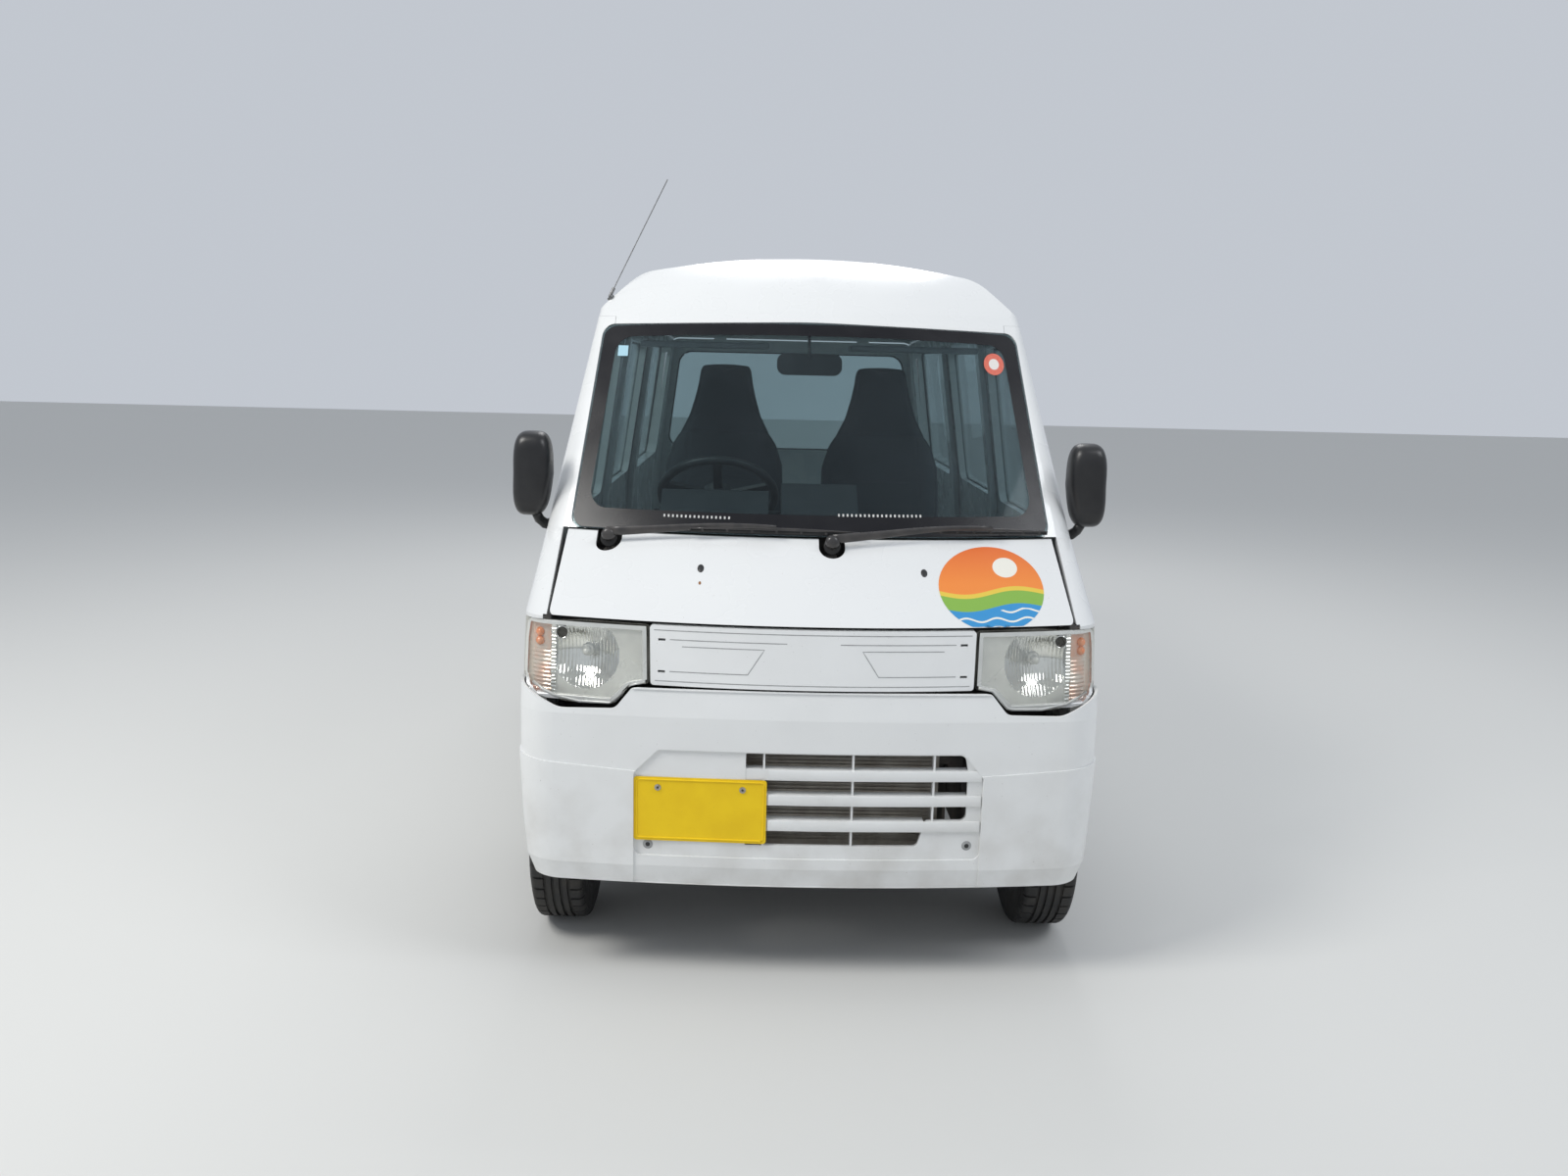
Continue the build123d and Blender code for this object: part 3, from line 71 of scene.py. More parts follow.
def cameraAxes(s):
    # forward, right and up of the photograph's camera
    yaw, pitch, roll = (math.radians(s[k]) for k in ("yaw", "pitch", "roll"))
    forward = Vector((math.sin(yaw) * math.cos(pitch), math.cos(yaw) * math.cos(pitch), math.sin(pitch)))
    right = forward.cross(Vector((0, 0, 1))).normalized()
    up = right.cross(forward)
    return forward, math.cos(roll) * right + math.sin(roll) * up, math.cos(roll) * up - math.sin(roll) * right


def makeCamera(s):
    forward, right, up = cameraAxes(s)
    data = bpy.data.cameras.new("camera")
    data.lens, data.sensor_width, data.sensor_fit = s["lens"], s["film"], "HORIZONTAL"
    data.clip_start, data.clip_end = s["clip"]
    camera = addObject("camera", data)
    camera.matrix_world = Matrix.Translation(s["place"]) @ Matrix((right, up, -forward)).transposed().to_4x4()
    scene.camera = camera


makeCamera(cameraSettings)

# node helpers
paints = {}


def setInputs(tree, node, inputs):
    # an input is a number, a colour, a vector, or the socket of another node
    for key, value in inputs.items():
        socket = node.inputs[key]
        if isinstance(value, bpy.types.NodeSocket):
            tree.links.new(value, socket)
        else:
            socket.default_value = (*value, 1) if socket.type == "RGBA" else value


def addNode(tree, kind, inputs, **settings):
    node = tree.nodes.new(kind)
    for key, value in settings.items():
        setattr(node, key, value)
    setInputs(tree, node, inputs)
    return node


def newMaterial(name, coords="Object"):
    material = bpy.data.materials.new(name)
    material.use_nodes = True
    paints[name] = material
    tree = material.node_tree
    return tree, tree.nodes["Principled BSDF"], addNode(tree, "ShaderNodeTexCoord", {}).outputs[coords]


def noise(tree, coords, scale, detail=4.0):
    return addNode(tree, "ShaderNodeTexNoise", {"Vector": coords, "Scale": scale, "Detail": detail}).outputs[0]


def remap(tree, value, low, high, toLow=0, toHigh=1):
    limits = {"Value": value, "From Min": low, "From Max": high, "To Min": toLow, "To Max": toHigh}
    return addNode(tree, "ShaderNodeMapRange", limits).outputs["Result"]


def blend(tree, factor, first, second):
    return addNode(tree, "ShaderNodeMix", {"Factor": factor, 6: first, 7: second}, data_type="RGBA").outputs[2]


def compute(tree, operation, first, second=0.0):
    return addNode(tree, "ShaderNodeMath", {0: first, 1: second}, operation=operation).outputs[0]


def axisOf(tree, coords, axis):
    return addNode(tree, "ShaderNodeSeparateXYZ", {0: coords}).outputs[axis]


def wave(tree, coords, axis, scale, distortion=0.0):
    inputs = {"Vector": coords, "Scale": scale, "Distortion": distortion}
    return addNode(tree, "ShaderNodeTexWave", inputs, bands_direction=axis).outputs[1]


def addBump(tree, shader, height, depth, strength=1.0):
    bump = addNode(tree, "ShaderNodeBump", {"Height": height, "Distance": depth, "Strength": strength})
    tree.links.new(bump.outputs["Normal"], shader.inputs["Normal"])


# floor and light
studioSettings = {
    "floorSize": 60, "floorColour": (0.62, 0.62, 0.60), "floorRoughness": 0.85,
    "skyColour": (0.82, 0.87, 0.95), "skyStrength": 0.66, "lampAim": (0, -0.4, 0.8),
    # place, size, power and colour of each lamp
    "lamps": [((-4.2, -3.4, 5.8), 2.2, 270, (1.0, 0.98, 0.94)), ((4.4, -3.2, 5.6), 2.6, 110, (0.95, 0.97, 1.0)),
              ((0.4, 4.6, 6.2), 3.0, 130, (1.0, 1.0, 1.0))],
}


def makeStudio(s):
    half = s["floorSize"] / 2
    mesh = bpy.data.meshes.new("floor")
    mesh.from_pydata([(-half, -half, 0), (half, -half, 0), (half, half, 0), (-half, half, 0)], [], [(0, 1, 2, 3)])
    tree, shader, coords = newMaterial("floorPaint")
    setInputs(tree, shader, {"Base Color": s["floorColour"], "Roughness": s["floorRoughness"]})
    mesh.materials.append(paints["floorPaint"])
    addObject("floor", mesh)
    world = bpy.data.worlds.new("studio")
    world.use_nodes = True
    sky = {"Color": s["skyColour"], "Strength": s["skyStrength"]}
    setInputs(world.node_tree, world.node_tree.nodes["Background"], sky)
    scene.world = world
    scene.view_settings.view_transform = "Standard"
    for number, (place, width, power, colour) in enumerate(s["lamps"]):
        data = bpy.data.lights.new(f"lamp{number}", "AREA")
        data.size, data.energy, data.color = width, power, colour
        lamp = addObject(f"lamp{number}", data)
        lamp.location = place
        lamp.rotation_euler = (Vector(s["lampAim"]) - Vector(place)).to_track_quat("-Z", "Y").to_euler()


makeStudio(studioSettings)
print("stage: camera, floor and light")

# finishes
noiseRanges = {"patches": (0.35, 0.68), "gloss": (0.3, 0.7), "dirt": (0.4, 0.75, 0.15, 1.0), "wear": (0.35, 0.7),
               "film": (0.35, 0.75), "tyreDust": (0.42, 0.72)}
speckEdge, glossScale = 0.03, 7.0


def surface(name, s):
    # two near colours in soft patches, uneven gloss, a grain, specks, and dirt that thins with height
    tree, shader, coords = newMaterial(name)
    patches = remap(tree, noise(tree, coords, s["patches"]), *noiseRanges["patches"])
    colour = blend(tree, patches, s["colour"], s["second"])
    if "dirt" in s:
        dirt = s["dirt"]
        low = remap(tree, axisOf(tree, coords, "Z"), dirt["low"], dirt["high"], dirt["amount"], dirt["rest"])
        uneven = remap(tree, noise(tree, coords, dirt["scale"], 6.0), *noiseRanges["dirt"])
        colour = blend(tree, compute(tree, "MULTIPLY", low, uneven), colour, dirt["colour"])
    if "specks" in s:
        scale, start, amount, speckColour = s["specks"]
        spots = remap(tree, noise(tree, coords, scale, 1.0), start, start + speckEdge)
        colour = blend(tree, compute(tree, "MULTIPLY", spots, amount), colour, speckColour)
    rough, spread = s["roughness"], s.get("spread", 0.05)
    gloss = remap(tree, noise(tree, coords, glossScale, 3.0), *noiseRanges["gloss"], rough - spread, rough + spread)
    coat, coatRoughness = s.get("coat", (0.0, 0.05))
    setInputs(tree, shader, {
        "Base Color": colour, "Roughness": gloss, "Metallic": s.get("metallic", 0.0), "Coat Weight": coat,
        "Coat Roughness": coatRoughness, "Specular IOR Level": s.get("specular", 0.5)})
    if "grain" in s:
        scale, depth = s["grain"]
        addBump(tree, shader, noise(tree, coords, scale, 2.0), depth)


def glassFinish(name, s):
    # tinted and see-through, with a sheen that grows towards the edge of sight and a thin film of dust
    tree, shader, coords = newMaterial(name)
    clear = addNode(tree, "ShaderNodeBsdfTransparent", {"Color": s["tint"]}).outputs[0]
    setInputs(tree, shader, {
        "Base Color": s["film"], "Coat Weight": 1.0, "Coat Roughness": 0.02, "Roughness": s["roughness"]})
    gloss = addNode(tree, "ShaderNodeFresnel", {"IOR": s["ior"]}).outputs[0]
    dust = remap(tree, noise(tree, coords, s["dustScale"], 6.0), *noiseRanges["film"], *s["dust"])
    veil = compute(tree, "MINIMUM", compute(tree, "ADD", gloss, dust), s["most"])
    mix = addNode(tree, "ShaderNodeMixShader", {0: veil, 1: clear, 2: shader.outputs[0]})
    tree.links.new(mix.outputs[0], tree.nodes["Material Output"].inputs["Surface"])


def tailLampFinish(name, s):
    # red lens with an amber and a clear band, and fine ribs inside
    tree, shader, coords = newMaterial(name)
    height = axisOf(tree, coords, "Z")
    mottle = remap(tree, noise(tree, coords, s["mottle"]), *noiseRanges["gloss"])
    colour = blend(tree, mottle, s["red"], s["darkRed"])
    for low, high, band in s["bands"]:
        above, below = compute(tree, "GREATER_THAN", height, low), compute(tree, "LESS_THAN", height, high)
        colour = blend(tree, compute(tree, "MULTIPLY", above, below), colour, band)
    addBump(tree, shader, wave(tree, coords, "Z", s["ribs"]), s["ribDepth"], 0.8)
    setInputs(tree, shader, {"Base Color": colour, "Roughness": 0.12, "Coat Weight": 1.0, "Coat Roughness": 0.03})


def clothFinish(name, s):
    # woven cloth of two crossing threads, faded in patches
    tree, shader, coords = newMaterial(name)
    weave = compute(tree, "MULTIPLY", *(wave(tree, coords, axis, s["threads"], 0.6) for axis in "XZ"))
    wear = remap(tree, noise(tree, coords, s["wearScale"], 6.0), *noiseRanges["wear"])
    base = blend(tree, weave, s["dark"], s["light"])
    addBump(tree, shader, weave, s["threadDepth"], 0.2)
    setInputs(tree, shader, {
        "Base Color": blend(tree, compute(tree, "MULTIPLY", wear, s["wear"]), base, s["faded"]),
        "Roughness": 0.9, "Sheen Weight": 0.15, "Sheen Roughness": 0.5})


def tyreFinish(name, s):
    tree, shader, coords = newMaterial(name)
    dust = remap(tree, noise(tree, coords, s["dustScale"], 7.0), *noiseRanges["tyreDust"])
    colour = blend(tree, compute(tree, "MULTIPLY", dust, s["dust"]), s["rubber"], s["dustColour"])
    setInputs(tree, shader, {"Base Color": colour, "Roughness": remap(tree, dust, 0, 1, *s["roughness"])})
    addBump(tree, shader, noise(tree, coords, s["grain"][0], 2.0), s["grain"][1])


def dirt(colour, low, high, amount, rest, scale):
    return {"colour": colour, "low": low, "high": high, "amount": amount, "rest": rest, "scale": scale}


# specks are scale, start, amount and colour; a grain is scale and depth; a coat is weight and roughness
surfaceSettings = {
    "bodyPaint": {
        "colour": (0.74, 0.75, 0.745), "second": (0.72, 0.73, 0.727), "patches": 1.6, "roughness": 0.27,
        "spread": 0.07, "coat": (0.55, 0.06), "dirt": dirt((0.40, 0.37, 0.32), 0.25, 0.70, 0.30, 0.0, 7.0),
        "specks": (210.0, 0.79, 0.7, (0.25, 0.16, 0.10))},
    "bumperPaint": {
        "colour": (0.795, 0.805, 0.80), "second": (0.75, 0.76, 0.755), "patches": 2.3, "roughness": 0.36,
        "spread": 0.07, "coat": (0.25, 0.12), "dirt": dirt((0.36, 0.33, 0.28), 0.25, 0.62, 0.45, 0.03, 9.0),
        "specks": (260.0, 0.78, 0.6, (0.2, 0.17, 0.14))},
    "blackPlastic": {
        "colour": (0.018, 0.018, 0.019), "second": (0.034, 0.034, 0.035), "patches": 22.0, "roughness": 0.44,
        "grain": (900.0, 0.0002)},
    "mirrorShell": {
        "colour": (0.010, 0.010, 0.011), "second": (0.018, 0.018, 0.019), "patches": 14.0, "roughness": 0.33,
        "grain": (1300.0, 0.00012)},
    "wiperBlack": {
        "colour": (0.030, 0.028, 0.028), "second": (0.055, 0.050, 0.047), "patches": 30.0, "roughness": 0.34,
        "spread": 0.08, "coat": (0.3, 0.05), "grain": (900.0, 0.0001)},
    "sealRubber": {
        "colour": (0.012, 0.012, 0.012), "second": (0.024, 0.023, 0.022), "patches": 30.0, "roughness": 0.58},
    "chassisPaint": {
        "colour": (0.030, 0.030, 0.030), "second": (0.055, 0.050, 0.045), "patches": 6.0, "roughness": 0.62,
        "spread": 0.12, "grain": (160.0, 0.0004), "dirt": dirt((0.17, 0.14, 0.11), 0.2, 0.8, 0.7, 0.1, 12.0)},
    "dashPlastic": {
        "colour": (0.035, 0.037, 0.041), "second": (0.052, 0.054, 0.058), "patches": 8.0, "roughness": 0.66,
        "grain": (700.0, 0.00035)},
    "paleTrim": {
        "colour": (0.36, 0.37, 0.38), "second": (0.31, 0.32, 0.33), "patches": 5.0, "roughness": 0.62,
        "grain": (620.0, 0.0003)},
    "engineCast": {
        "colour": (0.19, 0.19, 0.19), "second": (0.11, 0.10, 0.09), "patches": 9.0, "roughness": 0.68,
        "metallic": 0.4, "grain": (240.0, 0.0006)},
    "exhaustSteel": {
        "colour": (0.34, 0.31, 0.28), "second": (0.20, 0.12, 0.07), "patches": 11.0, "roughness": 0.55,
        "metallic": 0.7, "spread": 0.15, "grain": (300.0, 0.0003)},
    "rimPaint": {
        "colour": (0.50, 0.51, 0.52), "second": (0.42, 0.42, 0.42), "patches": 16.0, "roughness": 0.38,
        "metallic": 0.75, "grain": (400.0, 0.0001), "dirt": dirt((0.20, 0.13, 0.08), 0.05, 0.45, 0.5, 0.15, 28.0)},
    "lampSilver": {
        "colour": (0.80, 0.81, 0.81), "second": (0.72, 0.73, 0.74), "patches": 18.0, "roughness": 0.28,
        "metallic": 0.25},
    "reflectorChrome": {
        "colour": (0.86, 0.87, 0.88), "second": (0.78, 0.79, 0.80), "patches": 40.0, "roughness": 0.07,
        "spread": 0.03, "metallic": 1.0},
    "ribbedClear": {
        "colour": (0.68, 0.60, 0.56), "second": (0.80, 0.46, 0.36), "patches": 26.0, "roughness": 0.16,
        "coat": (1.0, 0.05), "metallic": 0.35},
    "amberBulb": {
        "colour": (0.82, 0.24, 0.08), "second": (0.90, 0.42, 0.26), "patches": 60.0, "roughness": 0.25,
        "coat": (0.5, 0.05)},
    "finMetal": {
        "colour": (0.30, 0.27, 0.23), "second": (0.42, 0.39, 0.35), "patches": 24.0, "roughness": 0.45,
        "metallic": 0.3},
    "plateYellow": {
        "colour": (0.88, 0.60, 0.010), "second": (0.82, 0.54, 0.008), "patches": 14.0, "roughness": 0.48,
        "specular": 0.3, "specks": (330.0, 0.77, 0.5, (0.3, 0.2, 0.05))},
    "boltSteel": {
        "colour": (0.46, 0.46, 0.44), "second": (0.30, 0.26, 0.21), "patches": 160.0, "roughness": 0.38,
        "metallic": 0.6},
    "antennaSteel": {
        "colour": (0.20, 0.20, 0.20), "second": (0.14, 0.14, 0.14), "patches": 60.0, "roughness": 0.35,
        "metallic": 0.8},
    "ceramicBlack": {
        "colour": (0.006, 0.006, 0.008), "second": (0.011, 0.011, 0.013), "patches": 12.0, "roughness": 0.24,
        "spread": 0.04, "specular": 0.3},
    "tickWhite": {
        "colour": (0.62, 0.62, 0.60), "second": (0.52, 0.52, 0.50), "patches": 80.0, "roughness": 0.45},
    # painted shade: the grey of the lines laid along the grille panel's pressed edges, also used for the bumper's screw
    # seats
    "grooveGrey": {
        "colour": (0.36, 0.37, 0.37), "second": (0.27, 0.27, 0.27), "patches": 60.0, "roughness": 0.6},
    "rustBrown": {
        "colour": (0.22, 0.09, 0.03), "second": (0.33, 0.17, 0.08), "patches": 300.0, "roughness": 0.8},
    "cargoMat": {
        "colour": (0.10, 0.10, 0.10), "second": (0.14, 0.135, 0.13), "patches": 5.0, "roughness": 0.75,
        "grain": (420.0, 0.0006)},
}
for name, settings in surfaceSettings.items():
    surface(name, settings)
glassFinish("windowGlass", {
    "tint": (0.72, 0.79, 0.80), "film": (0.22, 0.25, 0.28), "ior": 1.34, "dustScale": 2.0, "dust": (0.01, 0.05),
    "roughness": 0.05, "most": 0.32})
glassFinish("lampCover", {
    "tint": (0.99, 0.99, 0.97), "film": (0.70, 0.69, 0.62), "ior": 1.22, "dustScale": 9.0, "dust": (0.0, 0.07),
    "roughness": 0.08, "most": 0.45})
tailLampFinish("tailLens", {
    "red": (0.42, 0.012, 0.010), "darkRed": (0.30, 0.008, 0.008), "mottle": 60.0, "ribs": 38.0, "ribDepth": 0.0012,
    # low edge, high edge and colour
    "bands": [(0.845, 0.905, (0.72, 0.23, 0.02)), (0.79, 0.842, (0.55, 0.55, 0.53))]})
clothFinish("seatCloth", {
    "threads": 260.0, "threadDepth": 0.00015, "dark": (0.046, 0.048, 0.054), "light": (0.056, 0.059, 0.066),
    "faded": (0.078, 0.082, 0.092), "wear": 0.4, "wearScale": 9.0})
tyreFinish("tyreRubber", {
    "rubber": (0.012, 0.012, 0.012), "dustColour": (0.11, 0.10, 0.085), "dust": 0.35, "dustScale": 18.0,
    "roughness": (0.55, 0.85), "grain": (500.0, 0.0003)})


def onBothSides(*names):
    return [f"{name}_{side}" for name in names for side in sides]


nodeFinishes = {
    "bodyPaint": ["bonnet", "roof_panel", "tailgate", *onBothSides("side_panel", "front_door", "sliding_door")],
    "bumperPaint": ["front_bumper", "lower_grille", "grille_panel", "rear_bumper"],
    "windowGlass": ["windscreen", *onBothSides("front_door_glass"), "rear_side_glass", "tailgate_glass"],
    "lampCover": ["headlamp_lenses"],
    "lampSilver": ["headlamps"],
    "tailLens": ["tail_lamps"],
    "plateYellow": ["front_plate", "rear_plate"],
    "chassisPaint": ["chassis_frame", "wheelhouses", "cowl", "radiator_support", *onBothSides("knuckle"),
                     "front_crossmember", "rear_axle", "leaf_springs", "fuel_tank"],
    "cargoMat": ["floor_panel"],
    "finMetal": ["radiator"],
    "dashPlastic": ["dashboard", "seat_base"],
    "blackPlastic": ["steering_column", "steering_wheel", "wipers", "cabin_mirror"],
    "mirrorShell": onBothSides("door_mirror"),
    "engineCast": ["engine_block"],
    "exhaustSteel": ["exhaust"],
    "rimPaint": onBothSides("rim_front", "rim_rear"),
    "tyreRubber": onBothSides("tyre_front", "tyre_rear"),
    "seatCloth": ["front_seats"],
    "antennaSteel": ["antenna"],
}
for finish, names in nodeFinishes.items():
    for name in names:
        nodes[name].data.materials.clear()
        nodes[name].data.materials.append(paints[finish])
print("stage: finishes")


# mesh helpers
def claim(piece, body):
    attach(piece, body)
    return piece


def makePiece(name, points, faces, finish, body="body", smooth=True):
    mesh = bpy.data.meshes.new(name)
    mesh.from_pydata([tuple(p) for p in points], [], faces)
    mesh.validate()
    if smooth:
        mesh.shade_smooth()
    mesh.materials.append(paints[finish])
    piece = addObject(name, mesh)
    return claim(piece, body) if body else piece


def evaluated(piece):
    graph = bpy.context.evaluated_depsgraph_get()
    return bpy.data.meshes.new_from_object(piece.evaluated_get(graph))


def gridFaces(rows, columns, wrap=False):
    faces = []
    for i in range(rows - 1):
        for j in range(columns if wrap else columns - 1):
            k = (j + 1) % columns
            faces.append((i * columns + j, i * columns + k, (i + 1) * columns + k, (i + 1) * columns + j))
    return faces


def loft(name, rings, finish, body="body", sharp=None, capped=True):
    # a skin over rings of points, facing outwards; sharp is the angle past which an edge stays hard
    count = len(rings[0])
    points = [p for ring in rings for p in ring]
    faces = gridFaces(len(rings), count, wrap=True)
    if capped:
        faces += [tuple(reversed(range(count))), tuple(range(len(points) - count, len(points)))]
    piece = makePiece(name, points, faces, finish, body)
    edit = bmesh.new()
    edit.from_mesh(piece.data)
    bmesh.ops.remove_doubles(edit, verts=edit.verts, dist=1e-6)
    bmesh.ops.recalc_face_normals(edit, faces=edit.faces)
    edit.to_mesh(piece.data)
    edit.free()
    if sharp:
        piece.data.set_sharp_from_angle(angle=math.radians(sharp))
    return piece


def treeOf(*names):
    # a search tree over CAD nodes, for laying trim on their surfaces
    points, faces = [], []
    for name in names:
        start = len(points)
        points += [v.co.copy() for v in nodes[name].data.vertices]
        faces += [[start + i for i in p.vertices] for p in nodes[name].data.polygons]
    return BVHTree.FromPolygons(points, faces)


def hitFront(tree, x, z, lift=0.0, centre=None):
    # the foremost surface point at a front-view place, lifted off the surface;
    # a place past the edge is drawn in towards the centre until it is met
    for attempt in range(60):
        place, normal = tree.ray_cast(Vector((x, frontY - 1, z)), Vector((0, 1, 0)))[:2]
        if place is not None:
            return place + (normal if normal.y < 0 else -normal) * lift
        if centre is None:
            return None
        x, z = x + (centre[0] - x) * 0.02, z + (centre[1] - z) * 0.02
    return None


def fromPhoto(tree, pixel):
    # the front-view place that a pixel of the photograph shows
    forward, right, up = cameraAxes(cameraSettings)
    width, height = cameraSettings["pixels"]
    across = (pixel[0] - width / 2) / cameraSettings["focalPixels"]
    down = (pixel[1] - height / 2) / cameraSettings["focalPixels"]
    start = Vector(cameraSettings["place"])
    place = tree.ray_cast(start, (forward + right * across - up * down).normalized())[0]
    return (place.x, place.z)


def mirrored(half):
    return half + [(-u, v, radius) for u, v, radius in reversed(half)]


def roundedOutline(corners, steps=6):
    # corners of (u, v, radius) to points, arcs sampled
    points = []
    for i, (u, v, radius) in enumerate(corners):
        here = Vector((u, v))
        toBefore = (Vector(corners[i - 1][:2]) - here).normalized()
        toAfter = (Vector(corners[(i + 1) % len(corners)][:2]) - here).normalized()
        half = toBefore.angle(toAfter) / 2
        run = radius / math.tan(half)
        centre = here + (toBefore + toAfter).normalized() * (radius / math.sin(half))
        first, last = here + toBefore * run - centre, here + toAfter * run - centre
        turn = first.angle_signed(last)
        points += [centre + Matrix.Rotation(-turn * k / steps, 2) @ first for k in range(steps + 1)]
    return points


def superSection(halfU, halfV, power, count):
    # a ring between an ellipse and a box
    def bent(value, half):
        return math.copysign(abs(value) ** (2 / power) * half, value)

    angles = [fullTurn * k / count for k in range(count)]
    return [(bent(math.cos(angle), halfU), bent(math.sin(angle), halfV)) for angle in angles]


def disc(name, tree, centre, radius, lift, finish, body="body", height=0.0, rings=4, segments=28, stretch=1.0):
    # a round mark laid on the front surfaces, domed if it has a height, with a map of its own
    points, spots = [hitFront(tree, *centre, lift + height)], [(0.0, 0.0)]
    for share in (ring / rings for ring in range(1, rings + 1)):
        dome = height * math.sqrt(max(0.0, 1 - share ** 2))
        for k in range(segments):
            u, v = math.cos(fullTurn * k / segments) * share, math.sin(fullTurn * k / segments) * share
            points.append(hitFront(tree, centre[0] + u * radius * stretch, centre[1] + v * radius, lift + dome, centre))
            spots.append((u, v))
    faces = [(0, 1 + k, 1 + (k + 1) % segments) for k in range(segments)]
    for first in range(1, 1 + (rings - 1) * segments, segments):
        for k in range(segments):
            n = (k + 1) % segments
            faces.append((first + k, first + segments + k, first + segments + n, first + n))
    piece = makePiece(name, points, faces, finish, body)
    layer = piece.data.uv_layers.new(name="face")
    for loop in piece.data.loops:
        u, v = spots[loop.vertex_index]
        layer.data[loop.index].uv = (0.5 + u / 2, 0.5 + v / 2)


def tube(name, path, radius, finish, body="body", closed=True, flat=1.0, sections=8):
    # a bead that follows 3-D points, such as a window rubber
    rings, count = [], len(path)
    for i, here in enumerate(path):
        before = path[i - 1] if closed or i else here
        after = path[(i + 1) % count] if closed or i < count - 1 else here
        along = (after - before).normalized()
        outward = Vector((1, 0, 0)) if abs(along.x) < 0.8 else Vector((0, 0, 1))
        side = along.cross(outward).normalized()
        outward = side.cross(along).normalized()
        rings.append([here + (side * math.cos(angle) + outward * math.sin(angle) * flat) * radius
                      for angle in (fullTurn * k / sections for k in range(sections))])
    loft(name, rings + rings[:1] if closed else rings, finish, body, capped=not closed)


def tapered(name, path, widths, thickness, finish, body="body"):
    # a bar of rounded section along 3-D points, with its own half height at each
    rings = []
    for i, here in enumerate(path):
        along = (path[min(i + 1, len(path) - 1)] - path[max(i - 1, 0)]).normalized()
        out = along.cross(Vector((0, 0, 1))).normalized()
        up = out.cross(along).normalized()
        rings.append([here + up * u + out * w for u, w in superSection(widths[i], thickness, 3.0, 10)])
    return loft(name, rings, finish, body)


def turned(name, place, profile, finish, segments=24):
    # a shape turned about an axis along Y; profile rows are distance forward and radius
    rings = [[Vector((place[0] + radius * math.cos(angle), place[1] - forward, place[2] + radius * math.sin(angle)))
              for angle in (fullTurn * k / segments for k in range(segments))] for forward, radius in profile]
    loft(name, rings, finish, sharp=40)


def roundedSlab(name, low, high, radius, finish, body="body"):
    # a soft-edged slab between two corners
    edit = bmesh.new()
    bmesh.ops.create_cube(edit, size=1)
    size, middle = Vector(high) - Vector(low), (Vector(high) + Vector(low)) / 2
    for vertex in edit.verts:
        vertex.co = vertex.co * size + middle
    bmesh.ops.bevel(edit, geom=list(edit.edges), offset=radius, segments=3, affect="EDGES", profile=0.6)
    mesh = bpy.data.meshes.new(name)
    edit.to_mesh(mesh)
    edit.free()
    mesh.shade_smooth()
    mesh.set_sharp_from_angle(angle=math.radians(40))
    mesh.materials.append(paints[finish])
    claim(addObject(name, mesh), body)


# node trees for what repeats; sockets that aren't named here are vectors
socketKinds = {"Count": "Int", "Sides": "Int", "Radius": "Float", "Head Radius": "Float", "Head Depth": "Float",
               "Turn": "Rotation", "Material": "Material"}


def makeTree(name, carrier, carrierInputs, shape, shapeInputs, asOne=False):
    # a shape on each point of a line or circle, turned one by one, or placed and turned as one
    tree = bpy.data.node_groups.new(name, "GeometryNodeTree")
    for label in [*carrierInputs.values(), *shapeInputs.values(), "Turn", "Material"] + ["Place"] * asOne:
        kind = "NodeSocket" + socketKinds.get(label, "Vector")
        tree.interface.new_socket(label, in_out="INPUT", socket_type=kind)
    tree.interface.new_socket("Geometry", in_out="OUTPUT", socket_type="NodeSocketGeometry")
    given = tree.nodes.new("NodeGroupInput").outputs

    def add(kind, inputs):
        return addNode(tree, "GeometryNode" + kind, inputs).outputs[0]

    points = add(carrier, {socket: given[label] for socket, label in carrierInputs.items()})
    shapes = add(shape, {socket: given[label] for socket, label in shapeInputs.items()})
    if asOne:
        spread = add("InstanceOnPoints", {"Points": points, "Instance": shapes})
        spread = add("Transform", {"Geometry": spread, "Translation": given["Place"], "Rotation": given["Turn"]})
    else:
        spread = add("InstanceOnPoints", {"Points": points, "Instance": shapes, "Rotation": given["Turn"]})
    plain = add("RealizeInstances", {"Geometry": spread})
    painted = add("SetMaterial", {"Geometry": plain, "Material": given["Material"]})
    tree.links.new(painted, tree.nodes.new("NodeGroupOutput").inputs[0])
    return tree


lineInputs = {"Count": "Count", "Start Location": "Start", "Offset": "Step"}
headInputs = {"Vertices": "Sides", "Radius": "Head Radius", "Depth": "Head Depth"}
ringInputs = {"Vertices": "Count", "Radius": "Radius"}
rowTree = makeTree("rowOfBlocks", "MeshLine", lineInputs, "MeshCube", {"Size": "Size"})
headRowTree = makeTree("rowOfHeads", "MeshLine", lineInputs, "MeshCylinder", headInputs)
ringTree = makeTree("ringOfHeads", "MeshCircle", ringInputs, "MeshCylinder", headInputs, asOne=True)


def grow(name, tree, values, finish, body="body"):
    # run a tree once and keep its result as a plain mesh
    carrier = addObject(name + "Carrier", bpy.data.meshes.new(name + "Carrier"))
    modifier = carrier.modifiers.new("grow", "NODES")
    modifier.node_group = tree
    for item in tree.interface.items_tree:
        if item.in_out == "INPUT":
            modifier[item.identifier] = paints[finish] if item.name == "Material" else values[item.name]
    mesh = evaluated(carrier)
    mesh.name = name
    bpy.data.objects.remove(carrier)
    claim(addObject(name, mesh), body)


# windscreen: black printed band, ticks, two marks
glassTree = treeOf("windscreen")
bandSettings = {
    # half outlines: how far out, height from the glass's low or high edge, corner radius
    "outer": [(0.643, 0.003, 0.03), (0.604, -0.019, 0.036)], "inner": [(0.603, 0.052, 0.045), (0.564, -0.052, 0.05)],
    "rings": 3, "arcSteps": 8, "sideSteps": 22, "arch": 0.016, "archHalf": 0.6, "lift": 0.0006,
}


